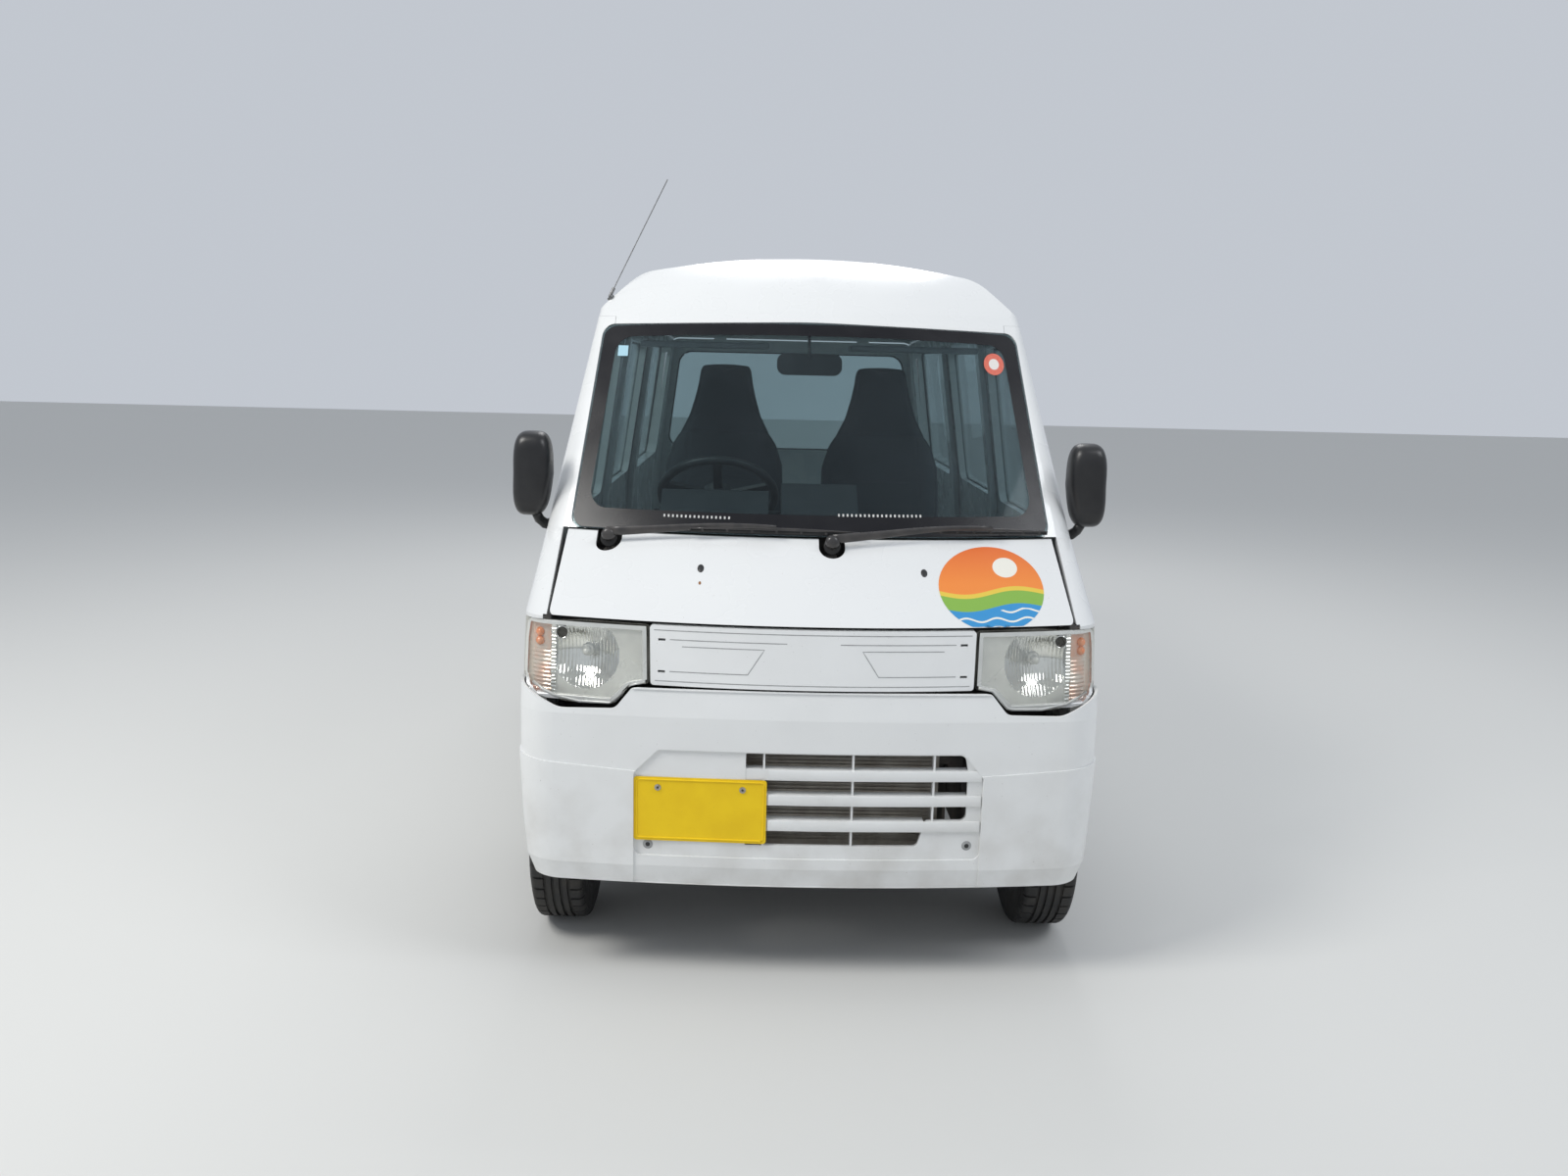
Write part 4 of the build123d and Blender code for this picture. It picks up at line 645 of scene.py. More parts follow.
def makeBand(s):
    low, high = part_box("windscreen")
    middleZ = (low.z + high.z) / 2
    lines = []
    for (x1, z1, r1), (x2, z2, r2) in (s["outer"], s["inner"]):
        outline = roundedOutline(mirrored([(x1, low.z + z1, r1), (x2, high.z + z2, r2)]), s["arcSteps"])
        line = []
        for i, here in enumerate(outline):
            there = outline[(i + 1) % len(outline)]
            parts = 1 if (i + 1) % (s["arcSteps"] + 1) else s["sideSteps"]
            line += [here.lerp(there, k / parts) for k in range(parts)]
        lines.append(line)
    points = []
    for ring in range(s["rings"] + 1):
        for first, last in zip(*lines):
            spot = first.lerp(last, ring / s["rings"])
            arch = s["arch"] * (1 - (spot.x / s["archHalf"]) ** 2) if spot.y > middleZ else 0.0
            points.append(hitFront(glassTree, spot.x, spot.y + arch, s["lift"], (0, middleZ)))
    makePiece("windscreenBand", points, gridFaces(s["rings"] + 1, len(lines[0]), wrap=True), "ceramicBlack")


makeBand(bandSettings)

tickSettings = {"size": (0.0045, 0.0012, 0.008), "step": 0.0115, "group": 4, "lift": 0.0006,
                "lean": -math.atan2(0.440, 0.564), "runs": [((678, 526), 16), ((856, 526), 20)]}


def makeTicks(s):
    length = s["step"] * s["group"]
    for number, (pixel, count) in enumerate(s["runs"]):
        x, z = fromPhoto(glassTree, pixel)
        for part in range(count // s["group"]):
            # each short group follows the curve of the glass
            start, end = (hitFront(glassTree, x + length * k, z, s["lift"]) for k in (part, part + 1))
            grow(f"windscreenTicks{number}_{part}", rowTree, {
                "Count": s["group"], "Start": start, "Step": (end - start) / s["group"], "Size": s["size"],
                "Turn": (s["lean"], 0, 0)}, "tickWhite")


makeTicks(tickSettings)


def markFinish(name, s):
    # a round mark with a plain middle, on its own map
    tree, shader, place = newMaterial(name, "UV")
    centred = addNode(tree, "ShaderNodeMapping", {"Vector": place, "Location": (-1, -1, 0), "Scale": (2, 2, 1)})
    length = addNode(tree, "ShaderNodeVectorMath", {0: centred.outputs[0]}, operation="LENGTH")
    middle = compute(tree, "LESS_THAN", length.outputs["Value"], s["middleShare"])
    rim = blend(tree, remap(tree, noise(tree, place, 9.0), *noiseRanges["wear"]), s["rim"], s["fadedRim"])
    setInputs(tree, shader, {"Base Color": blend(tree, middle, rim, s["middle"]), "Roughness": 0.4})


markFinish("redMark", {
    "rim": (0.62, 0.10, 0.06), "fadedRim": (0.66, 0.17, 0.11), "middle": (0.72, 0.68, 0.64), "middleShare": 0.5})
markFinish("blueMark", {
    "rim": (0.30, 0.52, 0.62), "fadedRim": (0.36, 0.57, 0.66), "middle": (0.52, 0.67, 0.73), "middleShare": 0.55})
markSettings = {"round": (1014, 372), "radius": 0.031, "roundLift": 0.0012,
                "square": (636, 358), "half": 0.015, "squareLift": 0.0013}


def makeMarks(s):
    disc("roundMark", glassTree, fromPhoto(glassTree, s["round"]), s["radius"], s["roundLift"], "redMark")
    x, z = fromPhoto(glassTree, s["square"])
    corners = [hitFront(glassTree, x + a * s["half"], z + b * s["half"], s["squareLift"])
               for a, b in ((-1, -1), (1, -1), (1, 1), (-1, 1))]
    makePiece("squareMark", corners, [(0, 1, 2, 3)], "blueMark", smooth=False)


makeMarks(markSettings)
print("stage: windscreen")

# bonnet: two plugs, a rust speck and a round sticker
bonnetTree = treeOf("bonnet")


def stickerFinish(name, s):
    # a plain landscape: warm sky with a pale disc, a green rise and blue water lines, on its own map
    tree, shader, place = newMaterial(name, "UV")
    across, up = axisOf(tree, place, "X"), axisOf(tree, place, "Y")

    def calc(operation, first, second=0.0):
        return compute(tree, operation, first, second)

    def swell(waves, height):
        return calc("MULTIPLY", calc("SINE", calc("MULTIPLY", across, waves)), height)

    level = calc("ADD", up, swell(*s["swell"]))
    sun = addNode(tree, "ShaderNodeVectorMath", {0: place, 1: s["sunPlace"]}, operation="DISTANCE").outputs["Value"]
    colour = blend(tree, remap(tree, up, *s["skyFade"]), s["warmLow"], s["warmHigh"])
    colour = blend(tree, calc("LESS_THAN", sun, s["sunRadius"]), colour, s["pale"])
    for top, band in s["bands"]:
        colour = blend(tree, calc("LESS_THAN", level, top), colour, band)
    ripple = calc("SINE", calc("ADD", calc("MULTIPLY", up, s["ripples"]), swell(*s["rippleSwell"])))
    inWater = calc("LESS_THAN", level, s["rippleTop"])
    lines = calc("MULTIPLY", calc("GREATER_THAN", ripple, s["rippleEdge"]), inWater)
    gloss = remap(tree, noise(tree, place, 12.0), *noiseRanges["gloss"], *s["roughness"])
    setInputs(tree, shader, {"Base Color": blend(tree, lines, colour, s["pale"]), "Roughness": gloss})


stickerFinish("bonnetSticker", {
    "warmLow": (0.80, 0.24, 0.04), "warmHigh": (0.72, 0.15, 0.03), "skyFade": (0.55, 1.0), "pale": (0.78, 0.76, 0.68),
    # top edge and colour
    "bands": [(0.47, (0.72, 0.52, 0.06)), (0.42, (0.22, 0.42, 0.06)), (0.27, (0.03, 0.26, 0.56))],
    "swell": (6.5, 0.045), "sunPlace": (0.66, 0.74, 0), "sunRadius": 0.12, "ripples": 60.0,
    "rippleSwell": (22.0, 1.3), "rippleEdge": 0.82, "rippleTop": 0.22, "roughness": (0.3, 0.45)})
# pixel, radius, lift, finish and shape of each
bonnetMarks = {
    "bonnetPlug0": ((715, 580), 0.0085, 0.0002, "blackPlastic", {"height": 0.003, "segments": 20}),
    "bonnetPlug1": ((943, 585), 0.0085, 0.0002, "blackPlastic", {"height": 0.003, "segments": 20}),
    "rustSpeck": ((714, 595), 0.0035, 0.0004, "rustBrown", {"rings": 2, "segments": 12}),
    "bonnetSticker": ((1012, 600), 0.087, 0.0005, "bonnetSticker", {"rings": 12, "segments": 64, "stretch": 1.6}),
}
for name, (pixel, radius, lift, finish, shape) in bonnetMarks.items():
    disc(name, bonnetTree, fromPhoto(bonnetTree, pixel), radius, lift, finish, "bonnet", **shape)
print("stage: bonnet")

# grille panel: grey lines of painted shade along its pressed edges, as distance from the middle and height from the
# panel's middle
grilleTree = treeOf("grille_panel")
shadeLineSettings = {
    "width": 0.0022, "lift": 0.0003, "step": 0.02,
    "paths": {
        "upper": [(0.352, 0.040), (0.065, 0.040)],
        "ridge": [(0.392, 0.062), (0.0, 0.062)],
        "lip": [(0.388, -0.062), (0.0, -0.062)],
        "lower": [(0.352, -0.038), (0.160, -0.038), (0.120, 0.024), (0.322, 0.024)],
    },
}


def paintedShadeLine(name, path, s):
    # a flat grey line laid on the panel, painted shade along a pressed edge
    line = []
    for here, there in zip(path, path[1:]):
        count = max(1, round((there - here).length / s["step"]))
        line += [here.lerp(there, k / count) for k in range(count)]
    line.append(path[-1])
    points = []
    for i, here in enumerate(line):
        along = (line[min(i + 1, len(line) - 1)] - line[max(i - 1, 0)]).normalized()
        across = Vector((-along.y, along.x)) * s["width"] / 2
        points += [hitFront(grilleTree, *(here - across), s["lift"]), hitFront(grilleTree, *(here + across), s["lift"])]
    makePiece(name, points, gridFaces(len(line), 2), "grooveGrey")


grilleLow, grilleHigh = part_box("grille_panel")
for side, sign in sides.items():
    for name, path in shadeLineSettings["paths"].items():
        spots = [Vector((x * sign, (grilleLow.z + grilleHigh.z) / 2 + z)) for x, z in path]
        paintedShadeLine(f"grilleShadeLine_{name}_{side}", spots, shadeLineSettings)
print("stage: grille panel")

# front bumper: screws in their seats
bumperTree = treeOf("front_bumper")
screwSettings = {
    "pixels": [(661, 861), (986, 863)], "height": 0.002,
    # radius and lift
    "seat": (0.0125, 0.0003), "head": (0.0065, 0.0016),
}
for number, pixel in enumerate(screwSettings["pixels"]):
    spot = fromPhoto(bumperTree, pixel)
    disc(f"bumperScrewSeat{number}", bumperTree, spot, *screwSettings["seat"], "grooveGrey",
         height=screwSettings["height"], segments=24)
    disc(f"bumperScrew{number}", bumperTree, spot, *screwSettings["head"], "blackPlastic",
         height=screwSettings["height"], rings=3, segments=16)

plateSettings = {
    "rimInset": 0.007, "rimRadius": 0.0022, "corner": 0.007, "boltSpacing": 0.210, "boltAbove": 0.056,
    "holeClear": 0.009, "headDepth": 0.004,
    # radius, how far it stands out, and finish
    # the sockets are dark discs on the bolt heads, painted shade of their hollows
    "heads": {"Bolts": (0.0080, 0.0, "boltSteel"), "BoltSocketShades": (0.0030, 0.0004, "sealRubber")},
}


def dressPlate(name, node, facing, s):
    # the pressed rim round a number plate and its two bolts, each with a dark disc of painted shade for its socket; the
    # front plate leans a little in plan
    low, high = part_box(node)
    middle = (low + high) / 2
    tree = treeOf(node)
    halfW, halfH = (high.x - low.x) / 2 - s["rimInset"], (high.z - low.z) / 2 - s["rimInset"]

    def onPlate(x, z):
        return tree.ray_cast(Vector((x, middle.y + facing, z)), Vector((0, -facing, 0)))[0]

    outline = roundedOutline(mirrored([(halfW, -halfH, s["corner"]), (halfW, halfH, s["corner"])]), 4)
    tube(f"{name}PlateRim", [onPlate(middle.x + p.x, middle.z + p.y) for p in outline], s["rimRadius"], "plateYellow")
    ends = []
    for side in (-1, 1):
        x, z = middle.x + side * s["boltSpacing"] / 2, middle.z + s["boltAbove"]
        ends.append(Vector((x, onPlate(x + s["holeClear"], z).y, z)))
    for label, (radius, stand, finish) in s["heads"].items():
        grow(f"{name}Plate{label}", headRowTree, {
            "Count": 2, "Start": ends[0] + Vector((0, facing * stand, 0)), "Step": ends[1] - ends[0], "Sides": 20,
            "Head Radius": radius, "Head Depth": s["headDepth"], "Turn": (math.pi / 2, 0, 0)}, finish)


dressPlate("front", "front_plate", -1, plateSettings)
dressPlate("rear", "rear_plate", 1, plateSettings)
print("stage: bumper and plates")

# blades across the bumper's opening, standing proud of its field, and the slats behind them
bladeTree = treeOf("front_bumper", "lower_grille")
bladeSettings = {"heights": (0.5485, 0.4835, 0.4170), "from": -0.1035, "to": 0.427, "half": 0.0142, "proud": 0.0012,
                 "thickness": 0.0045, "steps": 20}


def makeBlades(s):
    section = [Vector((0, w, u)) for u, w in superSection(s["half"], s["thickness"], 4.0, 12)]
    span = s["to"] - s["from"]
    for number, height in enumerate(s["heights"]):
        line = [hitFront(bladeTree, s["from"] + span * k / s["steps"], height, s["proud"])
                for k in range(s["steps"] + 1)]
        loft(f"grilleBlade{number}", [[here + p for p in section] for here in line], "bumperPaint", sharp=50)


makeBlades(bladeSettings)

slatSettings = {"pitch": 0.0095, "thickness": 0.0028, "depth": 0.006, "endGap": 0.02, "sideGap": 0.03, "sink": 0.001}


def makeSlats(s):
    low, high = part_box("radiator")
    grow("condenserSlats", rowTree, {
        "Count": int((high.z - low.z - 2 * s["endGap"]) / s["pitch"]),
        "Start": (0, low.y - s["depth"] / 2 + s["sink"], low.z + s["endGap"]), "Step": (0, 0, s["pitch"]),
        "Size": (high.x - low.x - s["sideGap"], s["depth"], s["thickness"]), "Turn": (0, 0, 0)}, "finMetal")


makeSlats(slatSettings)
print("stage: blades and slats")

# headlamps: frame, fluted bowl, bulb, position lamp, ribbed indicator
lensTree = treeOf("headlamp_lenses")
lampSettings = {
    # heights with the inner and outer edges there
    "outline": [(0.7075, 0.497, 0.661), (0.716, 0.492, 0.696), (0.735, 0.474, 0.718), (0.762, 0.449, 0.7285),
                (0.772, 0.408, 0.730), (0.850, 0.410, 0.7275), (0.890, 0.411, 0.721), (0.9035, 0.412, 0.706)],
    "centre": (0.5655, 0.824), "radius": 0.088, "depth": 0.050, "gap": 0.013, "rim": 0.011, "rimGap": 0.004,
    "step": 0.0021, "width": 0.315, "flute": (0.0016, 0.009), "deepest": -1.506,
    # start, gap behind the cover, and depth and width of the ribs
    "strip": (0.640, 0.009, 0.0015, 0.0045), "indicator": (0.655, 0.020, 0.0022, 0.0052), "ribTop": 0.829,
    "finishes": {"frame": "lampSilver", "panel": "lampSilver", "strip": "reflectorChrome",
                 "bowl": "reflectorChrome", "indicator": "ribbedClear"},
    # place, distance of its back behind the cover, profile of distance forward and radius, finish
    "turned": {
        "bulb": ((0.5655, 0.824), 0.062, [(0, 0.016), (0.006, 0.015), (0.009, 0.010), (0.028, 0.010), (0.033, 0.008),
                                          (0.036, 0.003)], "lampSilver"),
        "positionLamp": ((0.6255, 0.874), 0.016, [(0, 0.0135), (0.008, 0.0135), (0.008, 0.0105), (0.003, 0.0095),
                                                  (0.002, 0.002)], "sealRubber"),
        "positionRing": ((0.6255, 0.874), 0.017, [(0, 0.0165), (0.009, 0.0165), (0.010, 0.0150), (0.009, 0.0138),
                                                  (0.001, 0.0136)], "reflectorChrome"),
        "indicatorBulb0": ((0.684, 0.868), 0.030, [(0, 0.012), (0.010, 0.012), (0.018, 0.009), (0.022, 0.003)],
                           "amberBulb"),
        "indicatorBulb1": ((0.684, 0.846), 0.030, [(0, 0.012), (0.010, 0.012), (0.018, 0.009), (0.022, 0.003)],
                           "amberBulb"),
    },
    # the grey lip under the cover, over the gap to the bumper
    "lip": [(0.412, 0.767), (0.446, 0.757), (0.469, 0.731), (0.487, 0.711), (0.498, 0.7015), (0.580, 0.7005),
            (0.655, 0.7015), (0.692, 0.711), (0.716, 0.733)],
    "lipRadius": 0.0042, "lipGap": 0.005,
}


def ribbed(z, depth, width):
    return depth * math.sin(z / width * math.pi)


def outlineAt(z, rows):
    for low, high in zip(rows, rows[1:]):
        if z <= high[0]:
            share = max(0.0, (z - low[0]) / (high[0] - low[0]))
            return low[1] + share * (high[1] - low[1]), low[2] + share * (high[2] - low[2])
    return rows[-1][1:]


def makeLampInside(side, sign, s):
    # one sheet behind the cover, sorted into frame, bowl, ribbed strip and indicator
    zLow, zHigh = s["outline"][0][0], s["outline"][-1][0]
    centreX, centreZ = s["centre"]
    countZ, countX = int((zHigh - zLow) / s["step"]), int(s["width"] / s["step"])
    points, marks = [], []
    for i in range(countZ + 1):
        z = zLow + (zHigh - zLow) * i / countZ
        xInner, xOuter = outlineAt(z, s["outline"])
        for j in range(countX + 1):
            x = xInner + (xOuter - xInner) * j / countX
            y = hitFront(lensTree, sign * x, z, 0.0, (sign * centreX, centreZ)).y
            reach = math.hypot(x - centreX, z - centreZ) / s["radius"]
            if min(x - xInner, xOuter - x, z - zLow, zHigh - z) < s["rim"]:
                mark, y = "frame", y + s["rimGap"]
            elif x > s["indicator"][0]:
                mark, y = "indicator", y + s["indicator"][1]
                if z < s["ribTop"]:
                    y += ribbed(z, *s["indicator"][2:])
            elif x > s["strip"][0]:
                mark, y = "strip", y + s["strip"][1] + ribbed(z, *s["strip"][2:])
            elif reach < 1:
                flute = abs(ribbed(x - centreX, *s["flute"])) * min(1, reach * 3)
                mark, y = "bowl", y + s["gap"] + s["depth"] * (1 - reach ** 2) - flute
            else:
                mark, y = "panel", y + s["gap"]
            points.append(Vector((sign * x, min(y, s["deepest"]), z)))
            marks.append(mark)
    groups = {}
    for face in gridFaces(countZ + 1, countX + 1):
        groups.setdefault(marks[face[0]], []).append(face if sign < 0 else face[::-1])
    for mark, finish in s["finishes"].items():
        used = sorted({i for face in groups[mark] for i in face})
        place = {old: new for new, old in enumerate(used)}
        faces = [tuple(place[i] for i in face) for face in groups[mark]]
        piece = makePiece(f"lamp_{mark}_{side}", [points[i] for i in used], faces, finish)
        if mark == "frame":
            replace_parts(piece, "headlamps")


def dressLamp(side, sign, s):
    for name, ((x, z), behind, profile, finish) in s["turned"].items():
        back = hitFront(lensTree, sign * x, z).y + behind
        turned(f"{name}_{side}", (sign * x, back, z), profile, finish)
    centre = (sign * s["centre"][0], s["centre"][1])
    lip = [hitFront(lensTree, sign * x, z, 0.0, centre) + Vector((0, s["lipGap"], 0)) for x, z in s["lip"]]
    tube(f"lampLip_{side}", lip, s["lipRadius"], "lampSilver", closed=False)


for side, sign in sides.items():
    makeLampInside(side, sign, lampSettings)
    dressLamp(side, sign, lampSettings)
print("stage: headlamps")

# wipers: bowed arms on round spindles, and bridged blades
wiperSettings = {
    "spindles": [(-0.535, frontY + 0.338), (0.051, frontY + 0.273)], "armStart": (-0.020, 1.103),
    "blades": [((-0.319, frontY + 0.292, 1.1135), (0.132, frontY + 0.286, 1.1105)),
               ((0.315, frontY + 0.306, 1.1190), (0.638, frontY + 0.392, 1.1110))],
    "grips": [(-0.095, frontY + 0.276, 1.128), (0.478, frontY + 0.332, 1.131)],
    "armWidth": (0.0125, 0.0050), "armThickness": 0.0042, "bow": 0.012, "armSteps": 14,
    # how far in front of the spindle's place, height, profile and finish
    "turned": {
        "Spindle": (0.004, 1.094, [(0, 0.0185), (0.014, 0.0185), (0.020, 0.0165), (0.024, 0.011), (0.025, 0.003)],
                    "wiperBlack"),
        "Seat": (0.002, 1.082, [(0, 0.0215), (0.012, 0.0215), (0.014, 0.020)], "sealRubber")},
    "bladeSteps": 10, "rubberHalf": 0.0035, "bladeThickness": 0.0022, "spine": (-0.0035, 0.0055, 0.004),
    "spineHalf": (0.0018, 0.0022), "claws": 7, "clawSize": (0.006, 0.006, 0.009), "clawPlace": (0, -0.002, 0.003),
}


def makeWiper(number, s):
    x, y = s["spindles"][number]
    start, grip = Vector((x, y + s["armStart"][0], s["armStart"][1])), Vector(s["grips"][number])
    path, widths = [], []
    for share in (k / s["armSteps"] for k in range(s["armSteps"] + 1)):
        path.append(start.lerp(grip, share) + Vector((0, 0, s["bow"] * math.sin(math.pi * share) * share)))
        widths.append(s["armWidth"][0] + (s["armWidth"][1] - s["armWidth"][0]) * share)
    arm = tapered(f"wiperArm{number}", path, widths, s["armThickness"], "wiperBlack")
    if number == 0:
        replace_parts(arm, "wipers")
    for label, (ahead, height, profile, finish) in s["turned"].items():
        turned(f"wiper{label}{number}", (x, y - ahead, height), profile, finish, 28)
    first, last = (Vector(p) for p in s["blades"][number])
    shares = [k / s["bladeSteps"] for k in range(s["bladeSteps"] + 1)]
    blade = [first.lerp(last, share) for share in shares]
    tapered(f"wiperRubber{number}", blade, [s["rubberHalf"]] * len(blade), s["bladeThickness"], "sealRubber")
    forward, above, bow = s["spine"]
    rise = [math.sin(math.pi * share) for share in shares]
    spine = [p + Vector((0, forward, above + bow * r)) for r, p in zip(rise, blade)]
    halves = [s["spineHalf"][0] + s["spineHalf"][1] * r for r in rise]
    tapered(f"wiperSpine{number}", spine, halves, s["bladeThickness"], "wiperBlack")
    step = (last - first) / s["claws"]
    grow(f"wiperClaws{number}", rowTree, {
        "Count": s["claws"], "Start": first + step / 2 + Vector(s["clawPlace"]), "Step": step,
        "Size": s["clawSize"], "Turn": (0, 0, 0)}, "wiperBlack")


for number in range(2):
    makeWiper(number, wiperSettings)
print("stage: wipers")

# window rubbers on the side and rear windows
belt, doorTop = 1.102, 1.610
bPillarY, slideRearY = frontY + 1.357, frontY + 2.218
rubberSettings = {
    "radius": 0.0055, "paneInset": 0.0095, "flat": 0.9,
    # corners as y, height and radius, and what carries them
    "side": {
        "frontDoor": ([(frontY + 0.560, belt, 0.03), (bPillarY - 0.055, belt, 0.035),
                       (bPillarY - 0.055, doorTop, 0.035), (frontY + 0.912, doorTop, 0.035)], "front_door_"),
        "slideDoor": ([(bPillarY + 0.061, belt, 0.04), (slideRearY - 0.06, belt, 0.04),
                       (slideRearY - 0.06, doorTop, 0.045), (bPillarY + 0.061, doorTop, 0.04)], "body"),
        "quarter": ([(slideRearY + 0.07, belt, 0.04), (rearY - 0.165, belt, 0.04), (rearY - 0.2, doorTop, 0.04),
                     (slideRearY + 0.07, doorTop, 0.04)], "body"),
    },
    # the side panes lean in above this height: inset there, extra inset at the top, run
    "paneLow": 1.098, "paneRun": 0.564, "sideInset": 0.019, "sideLean": 0.084, "tailInset": 0.026, "tailLean": 0.043,
    "tail": [(halfWidth - 0.125, 1.120, 0.06), (halfWidth - 0.19, 1.595, 0.07)], "tailRadius": 0.0065,
}


def makeRubbers(s):
    def up(z):
        return (z - s["paneLow"]) / s["paneRun"]

    for name, (corners, body) in s["side"].items():
        outline = roundedOutline(corners, 5)
        for side, sign in sides.items():
            path = [Vector((sign * (halfWidth - s["sideInset"] - up(p.y) * s["sideLean"] - s["paneInset"]), p.x, p.y))
                    for p in outline]
            carrier = body + side if body.endswith("_") else body
            tube(f"{name}Rubber_{side}", path, s["radius"], "sealRubber", carrier, flat=s["flat"])
    path = [Vector((p.x, rearY - s["tailInset"] - s["tailLean"] * up(p.y) - s["paneInset"], p.y))
            for p in roundedOutline(mirrored(s["tail"]), 6)]
    tube("tailWindowRubber", path, s["tailRadius"], "sealRubber", "tailgate", flat=s["flat"])


makeRubbers(rubberSettings)
print("stage: window rubbers")

# tyres: ribs, shoulder blocks and moulded sidewalls, and the wheel nuts
tyreSettings = {
    "pitches": 44, "blockShare": 0.80, "slotStart": 0.83, "slotEnd": 0.97, "slotDepth": 0.005,
    # half of the tread's grooves, outermost first: centre, width and whether a shoulder block carries it
    "grooveDepth": 0.006, "grooves": [(0.031, 0.0065, True), (0.0105, 0.006, False)], "grooveEdge": 0.001,
    # bends of the sidewall from bead to tread: start, pull and end as x and radius, and steps
    "bends": [((0.0600, 0.1605), (0.0607, 0.168), (0.0612, 0.1760), 3),
              ((0.0612, 0.1760), (0.0785, 0.2150), (0.0690, 0.2560), 26),
              ((0.0690, 0.2560), (0.0665, 0.2680), (0.0550, wheelRadius - 0.0006), 4)],
    "rings": (0.186, 0.243), "ringHeight": 0.0013, "ringHalf": 0.003, "shoulder": (0.068, 0.26),
}
nutSettings = {"count": 4, "circle": 0.050, "radius": 0.0098, "depth": 0.010, "sink": 0.002}


def tyreProfile(s):
    # across the tyre: x, radius, and whether the point is cut by the slots of the shoulder blocks
    half = []
    for a, b, c, count in s["bends"]:
        for t in (k / count for k in range(count + (c is s["bends"][-1][2]))):
            x, radius = ((1 - t) ** 2 * a[i] + 2 * t * (1 - t) * b[i] + t * t * c[i] for i in range(2))
            if any(abs(radius - ring) < s["ringHalf"] for ring in s["rings"]):
                x += s["ringHeight"]
            half.append((x, radius, x < s["shoulder"][0] and radius > s["shoulder"][1]))
    for centre, width, block in s["grooves"]:
        edge, bottom = width / 2 + s["grooveEdge"], wheelRadius - s["grooveDepth"]
        half += [(centre + edge, wheelRadius, block), (centre + width / 2, bottom, False),
                 (centre - width / 2, bottom, False), (centre - edge, wheelRadius, False)]
    return half + [(-x, radius, block) for x, radius, block in reversed(half)]


def makeTyre(name, centre, body, s):
    profile, step = tyreProfile(s), fullTurn / s["pitches"]
    shares = ((0, 0), (s["blockShare"] * 0.5, 0), (s["blockShare"], 0), (s["slotStart"], 1), (s["slotEnd"], 1))
    rings = []
    for pitch in range(s["pitches"]):
        for share, inSlot in shares:
            angle = step * (pitch + share)
            radii = [(x, radius - (s["slotDepth"] if inSlot and block else 0)) for x, radius, block in profile]
            rings.append([centre + Vector((x, r * math.cos(angle), r * math.sin(angle))) for x, r in radii])
    return loft(name, rings + rings[:1], "tyreRubber", body, sharp=35, capped=False)


for axle in ("front", "rear"):
    for side, sign in sides.items():
        node, body = f"tyre_{axle}_{side}", f"wheel_{axle}_{side}"
        low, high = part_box(node)
        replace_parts(makeTyre(f"tyreTread_{axle}_{side}", (low + high) / 2, body, tyreSettings), node)
        middleY, s = (low.y + high.y) / 2, nutSettings
        rimX = treeOf(f"rim_{axle}_{side}").ray_cast(
            Vector((sign, middleY + s["circle"], wheelRadius)), Vector((-sign, 0, 0)))[0].x
        grow(f"wheelNuts_{axle}_{side}", ringTree, {
            "Count": s["count"], "Radius": s["circle"], "Sides": 6, "Head Radius": s["radius"],
            "Head Depth": s["depth"], "Place": (rimX + sign * s["sink"], middleY, wheelRadius),
            "Turn": (0, math.pi / 2, 0)}, "boltSteel", body)
print("stage: tyres")

# front seats: padded cushions and backs
seatSettings = {
    "centres": {"left": 0.262, "right": -0.262},
    "cushionFront": frontY + 0.830, "cushionLow": 0.832, "cushionLength": 0.450, "cushionHeight": 0.112,
    "halfWidth": 0.213, "lean": 12.0, "backLow": 0.912, "backY": 0.430, "backForward": 0.050, "thickness": 0.086,
    # height up the back and half width there
    "backRows": [(0.012, 0.196), (0.04, 0.208), (0.16, 0.212), (0.29, 0.208), (0.36, 0.186), (0.41, 0.156),
                 (0.46, 0.131), (0.52, 0.113), (0.58, 0.098), (0.62, 0.088), (0.634, 0.078)],
    "backTop": 0.646, "cushionSteps": 10,
    # seams: across the back, up its sides, round its edge; along the cushion, across it, round its edge
    "backSeams": (0.395, 0.24), "backSide": 0.128, "backEdge": 0.075, "cushionSide": 0.135,
    "cushionSeams": (0.15, 0.30), "cushionEdge": 0.66, "seamDepth": 0.004, "seamWidth": 0.006,
    "voxel": 0.006, "pressure": 4.0, "frames": 20, "cap": 0.012, "fill": 0.75,
    # power and points of the sections
    "backSection": (3.4, 40), "cushionSection": (4.0, 44),
    # shares left at the ends, and how fast the pad gets full
    "backEnds": (0.55, 12), "widthEnds": (0.93, 0.07, 6), "heightEnds": (0.60, 0.40, 5),
    # the back thins from here: height, share there and loss; the cushion slopes down to its rear
    "backThin": (0.4, 0.92, 0.5), "slope": (1.05, 0.12), "endGap": 0.012, "footGap": 0.004,
    "edgeTop": 0.62, "frontFace": 0.03, "sideLean": (0.05, 0.2), "topFace": 0.72,
}


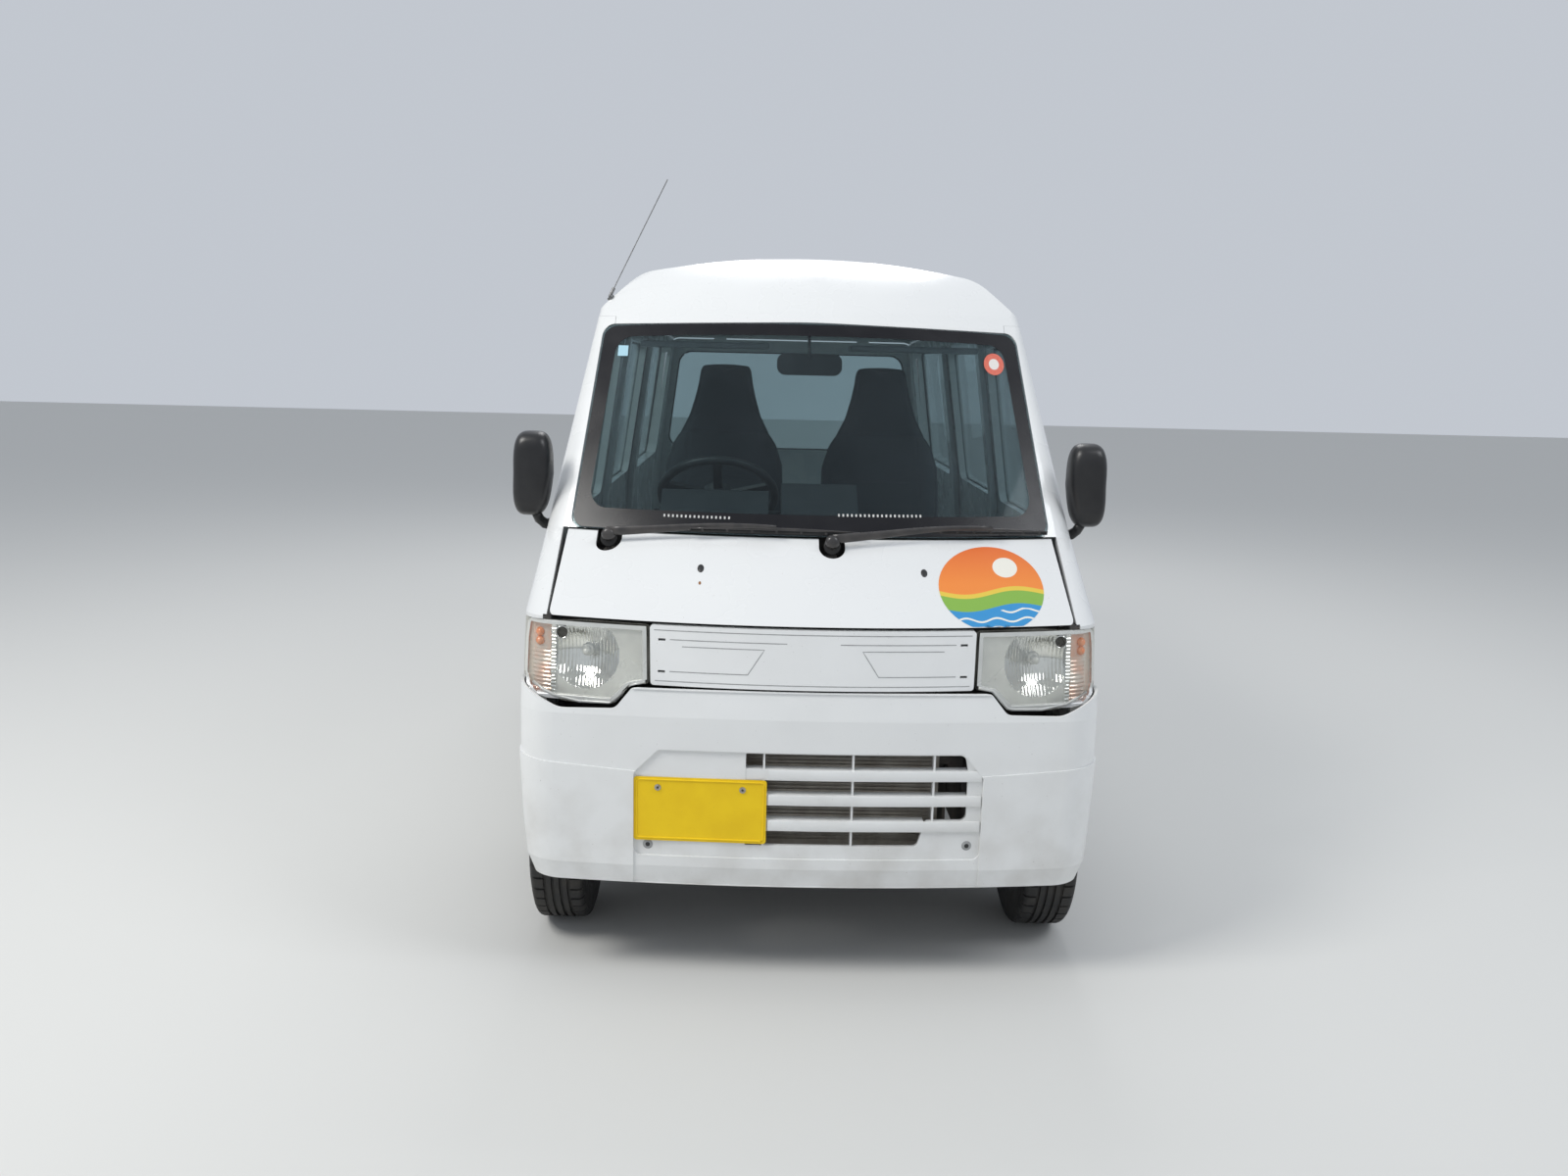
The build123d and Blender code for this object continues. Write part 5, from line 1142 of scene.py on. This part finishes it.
def inflate(piece, s):
    # remesh finely, blow it up a little as cloth, and cap how far it moves
    remesh = piece.modifiers.new("even", "REMESH")
    remesh.mode = "VOXEL"
    remesh.voxel_size = s["voxel"]
    mesh = evaluated(piece)
    piece.modifiers.clear()
    piece.data = mesh
    rest = [v.co.copy() for v in mesh.vertices]
    cloth = piece.modifiers.new("cloth", "CLOTH")
    cloth.settings.use_pressure = True
    cloth.settings.uniform_pressure_force = s["pressure"]
    cloth.settings.effector_weights.gravity = 0
    cloth.settings.quality = 4
    cloth.point_cache.frame_end = s["frames"]
    for step in range(1, s["frames"] + 1):
        scene.frame_set(step)
    graph = bpy.context.evaluated_depsgraph_get()
    blown = [v.co.copy() for v in piece.evaluated_get(graph).data.vertices]
    piece.modifiers.clear()
    scene.frame_set(1)
    for vertex, before, after in zip(mesh.vertices, rest, blown):
        move = after - before
        vertex.co = before + move * min(1.0, s["cap"] / max(move.length, 1e-9))


def finishPad(piece, distanceTo, s):
    # press the cloth in along its seams, soften it and make it finer
    for vertex in piece.data.vertices:
        gap = distanceTo(vertex.co)
        if gap < s["seamWidth"]:
            vertex.co -= vertex.normal * s["seamDepth"] * (1 - gap / s["seamWidth"]) ** 2
    piece.modifiers.new("soft", "SMOOTH").iterations = 2
    finer = piece.modifiers.new("finer", "SUBSURF")
    finer.levels = finer.render_levels = 1
    mesh = evaluated(piece)
    piece.modifiers.clear()
    mesh.shade_smooth()
    piece.data = mesh
    if not mesh.materials:
        mesh.materials.append(paints["seatCloth"])


def makeBack(s):
    lean = math.radians(s["lean"])
    upBack, forward = Vector((0, math.sin(lean), math.cos(lean))), Vector((0, -math.cos(lean), math.sin(lean)))
    foot = Vector((0, s["cushionFront"] + s["backY"], s["backLow"]))
    bend, share, loss = s["backThin"]
    rings = []
    for v, halfU in s["backRows"]:
        edge = min(1.0, s["backEnds"][0] + s["backEnds"][1] * min(v, s["backTop"] - v))
        depth = s["thickness"] / 2 * (1.0 if v < bend else share - loss * (v - bend)) * edge
        middle = foot + upBack * v + forward * s["backForward"]
        section = superSection(halfU, depth, *s["backSection"])
        rings.append([middle + Vector((u, 0, 0)) + forward * w for u, w in section])
    back = loft("seatBackForm", rings, "seatCloth", None)
    inflate(back, s)
    top, waist = s["backSeams"]

    def seams(point):
        local = point - foot
        v, u = local.dot(upBack), abs(local.x)
        w = (local - upBack * v).dot(forward)
        gaps = [abs(w - s["backEdge"]) if v < s["edgeTop"] else 1.0]
        if w > s["frontFace"]:
            gaps.append(abs(v - top))
            if v < top:
                gaps.append(abs(u - (s["backSide"] - s["sideLean"][0] * max(0, v - s["sideLean"][1]))))
                if u < s["backSide"]:
                    gaps.append(abs(v - waist))
        return min(gaps)

    finishPad(back, seams, s)
    return back


def makeCushion(s):
    length, height = s["cushionLength"], s["cushionHeight"]
    rings = []
    for share in (k / s["cushionSteps"] for k in range(s["cushionSteps"] + 1)):
        close, slope = min(share, 1 - share), s["slope"][0] - s["slope"][1] * share
        halfU, halfV = (size * (least + more * min(1, close * pace)) for size, (least, more, pace) in (
            (s["halfWidth"], s["widthEnds"]), (height / 2, s["heightEnds"])))
        middle = Vector((0, s["cushionFront"] + s["endGap"] + share * (length - 2 * s["endGap"]),
                         s["cushionLow"] + s["footGap"] + height / 2 * slope))
        section = superSection(halfU, halfV * slope, *s["cushionSection"])
        rings.append([middle + Vector((u, 0, w)) for u, w in section])
    cushion = loft("seatCushionForm", rings, "seatCloth", None)
    inflate(cushion, s)

    def seams(point):
        u, y = abs(point.x), point.y - s["cushionFront"]
        gaps = [abs(point.z - s["cushionLow"] - height * s["cushionEdge"])]
        if point.z > s["cushionLow"] + height * s["topFace"]:
            gaps.append(abs(u - s["cushionSide"]))
            if u < s["cushionSide"]:
                gaps += [abs(y - seam) for seam in s["cushionSeams"]]
        return min(gaps)

    finishPad(cushion, seams, s)
    return cushion


def makeSeats(s):
    forms = {"seatBack": makeBack(s), "seatCushion": makeCushion(s)}
    for side, x in s["centres"].items():
        for label, form in forms.items():
            mesh = form.data.copy()
            mesh.transform(Matrix.Translation((x, 0, 0)))
            piece = claim(addObject(f"{label}_{side}", mesh), "body")
            if (label, side) == ("seatBack", "left"):
                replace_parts(piece, "front_seats")
    for form in forms.values():
        bpy.data.objects.remove(form)


makeSeats(seatSettings)
print("stage: seats")

# cabin trim: door panels, arm rests, sun visors
doorInner = halfWidth - 0.057
trimSettings = {
    # inner and outer x, front and rear y, low and high z, edge radius, finish, what carries it
    "doorTrim": ((doorInner - 0.012, doorInner), (-1.170, -0.400), (0.700, 1.060), 0.004, "paleTrim", "front_door_"),
    "armRest": ((doorInner - 0.050, doorInner - 0.010), (-0.900, -0.600), (0.900, 0.945), 0.012, "dashPlastic",
                "front_door_"),
    "sunVisor": ((0.12, 0.50), (-0.880, -0.760), (1.586, 1.604), 0.007, "paleTrim", "body"),
}
for side, sign in sides.items():
    for name, (xs, ys, zs, radius, finish, body) in trimSettings.items():
        xLow, xHigh = sorted(sign * x for x in xs)
        roundedSlab(f"{name}_{side}", (xLow, ys[0], zs[0]), (xHigh, ys[1], zs[1]), radius, finish,
                    body + side if body.endswith("_") else body)

# door mirrors: a domed shell, its glass and a stalk
mirrorSettings = {
    "top": 1.350, "bottom": 1.118, "inner": 0.707, "outer": 0.8155, "front": frontY + 0.448, "back": frontY + 0.512,
    # distance from the front, share of the full height and of the full width
    "rows": [(0.0, 0.62, 0.55), (0.003, 0.76, 0.70), (0.010, 0.87, 0.84), (0.022, 0.94, 0.93), (0.038, 0.985, 0.98),
             (0.056, 1.0, 1.0), (0.062, 0.985, 0.98), (0.0635, 0.96, 0.95)],
    "points": 48, "narrowing": 0.10, "pull": 0.010, "glassOut": 0.004, "glassShare": (0.86, 0.90),
    "stalk": [(0.7210, frontY + 0.520, 1.092), (0.7360, frontY + 0.518, 1.094), (0.7480, frontY + 0.508, 1.106),
              (0.7560, frontY + 0.492, 1.130)],
    "stalkHalf": [0.0165, 0.0150, 0.0135, 0.0125], "stalkThickness": 0.011,
}


def makeDoorMirror(side, sign, s):
    body, count = f"front_door_{side}", s["points"]
    middleX, middleZ = (s["inner"] + s["outer"]) / 2, (s["top"] + s["bottom"]) / 2
    halfU, halfW = (s["outer"] - s["inner"]) / 2, (s["top"] - s["bottom"]) / 2
    rings = []
    for ahead, tall, wide in s["rows"]:
        ring = []
        for u, w in superSection(halfU * wide, halfW * tall, 3.6, count):
            # the lower part narrows and is drawn out, clear of the stalk
            low = max(0.0, -w / halfW)
            x = middleX + u * (1 - s["narrowing"] * low) + s["pull"] * low
            ring.append(Vector((sign * x, s["front"] + ahead, middleZ + w)))
        rings.append(ring)
    shell = loft(f"mirrorShell_{side}", rings, "mirrorShell", body, sharp=45)
    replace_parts(shell, f"door_mirror_{side}")
    glassX, (wide, tall) = middleX + s["glassOut"], s["glassShare"]
    face = [Vector((sign * (glassX + u), s["back"] + 0.0002, middleZ + w))
            for u, w in superSection(halfU * wide, halfW * tall, 4.0, count)]
    face.append(Vector((sign * glassX, s["back"] + 0.0008, middleZ)))
    fan = [(k, (k + 1) % count, count) for k in range(count)]
    glass = makePiece(f"mirrorFace_{side}", face, fan, "reflectorChrome", body)
    if sum(p.normal.y for p in glass.data.polygons) < 0:
        glass.data.flip_normals()
    stalk = [Vector((sign * x, y, z)) for x, y, z in s["stalk"]]
    tapered(f"mirrorStalk_{side}", stalk, s["stalkHalf"], s["stalkThickness"], "mirrorShell", body)


for side, sign in sides.items():
    makeDoorMirror(side, sign, mirrorSettings)

# cabin mirror: its stem and its glass
cabinSettings = {
    "stem": [(-0.005, -0.990, 1.560), (-0.005, -0.960, 1.600), (-0.005, -0.925, 1.634)],
    "stemHalf": [0.0045, 0.0045, 0.0075], "stemThickness": 0.0045, "inset": 0.008, "faceHeight": 0.054,
    "faceDepth": (0.0055, 0.0045), "edge": 0.0004,
}


def makeCabinMirror(s):
    stem = [Vector(p) for p in s["stem"]]
    tapered("cabinMirrorStem", stem, s["stemHalf"], s["stemThickness"], "blackPlastic")
    low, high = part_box("cabin_mirror")
    near, far = s["faceDepth"]
    roundedSlab("cabinMirrorFace", (low.x + s["inset"], high.y - near, low.z + s["inset"]),
                (high.x - s["inset"], high.y - far, low.z + s["faceHeight"]), s["edge"], "reflectorChrome")


makeCabinMirror(cabinSettings)
print("stage: cabin trim")

print("stage: done")
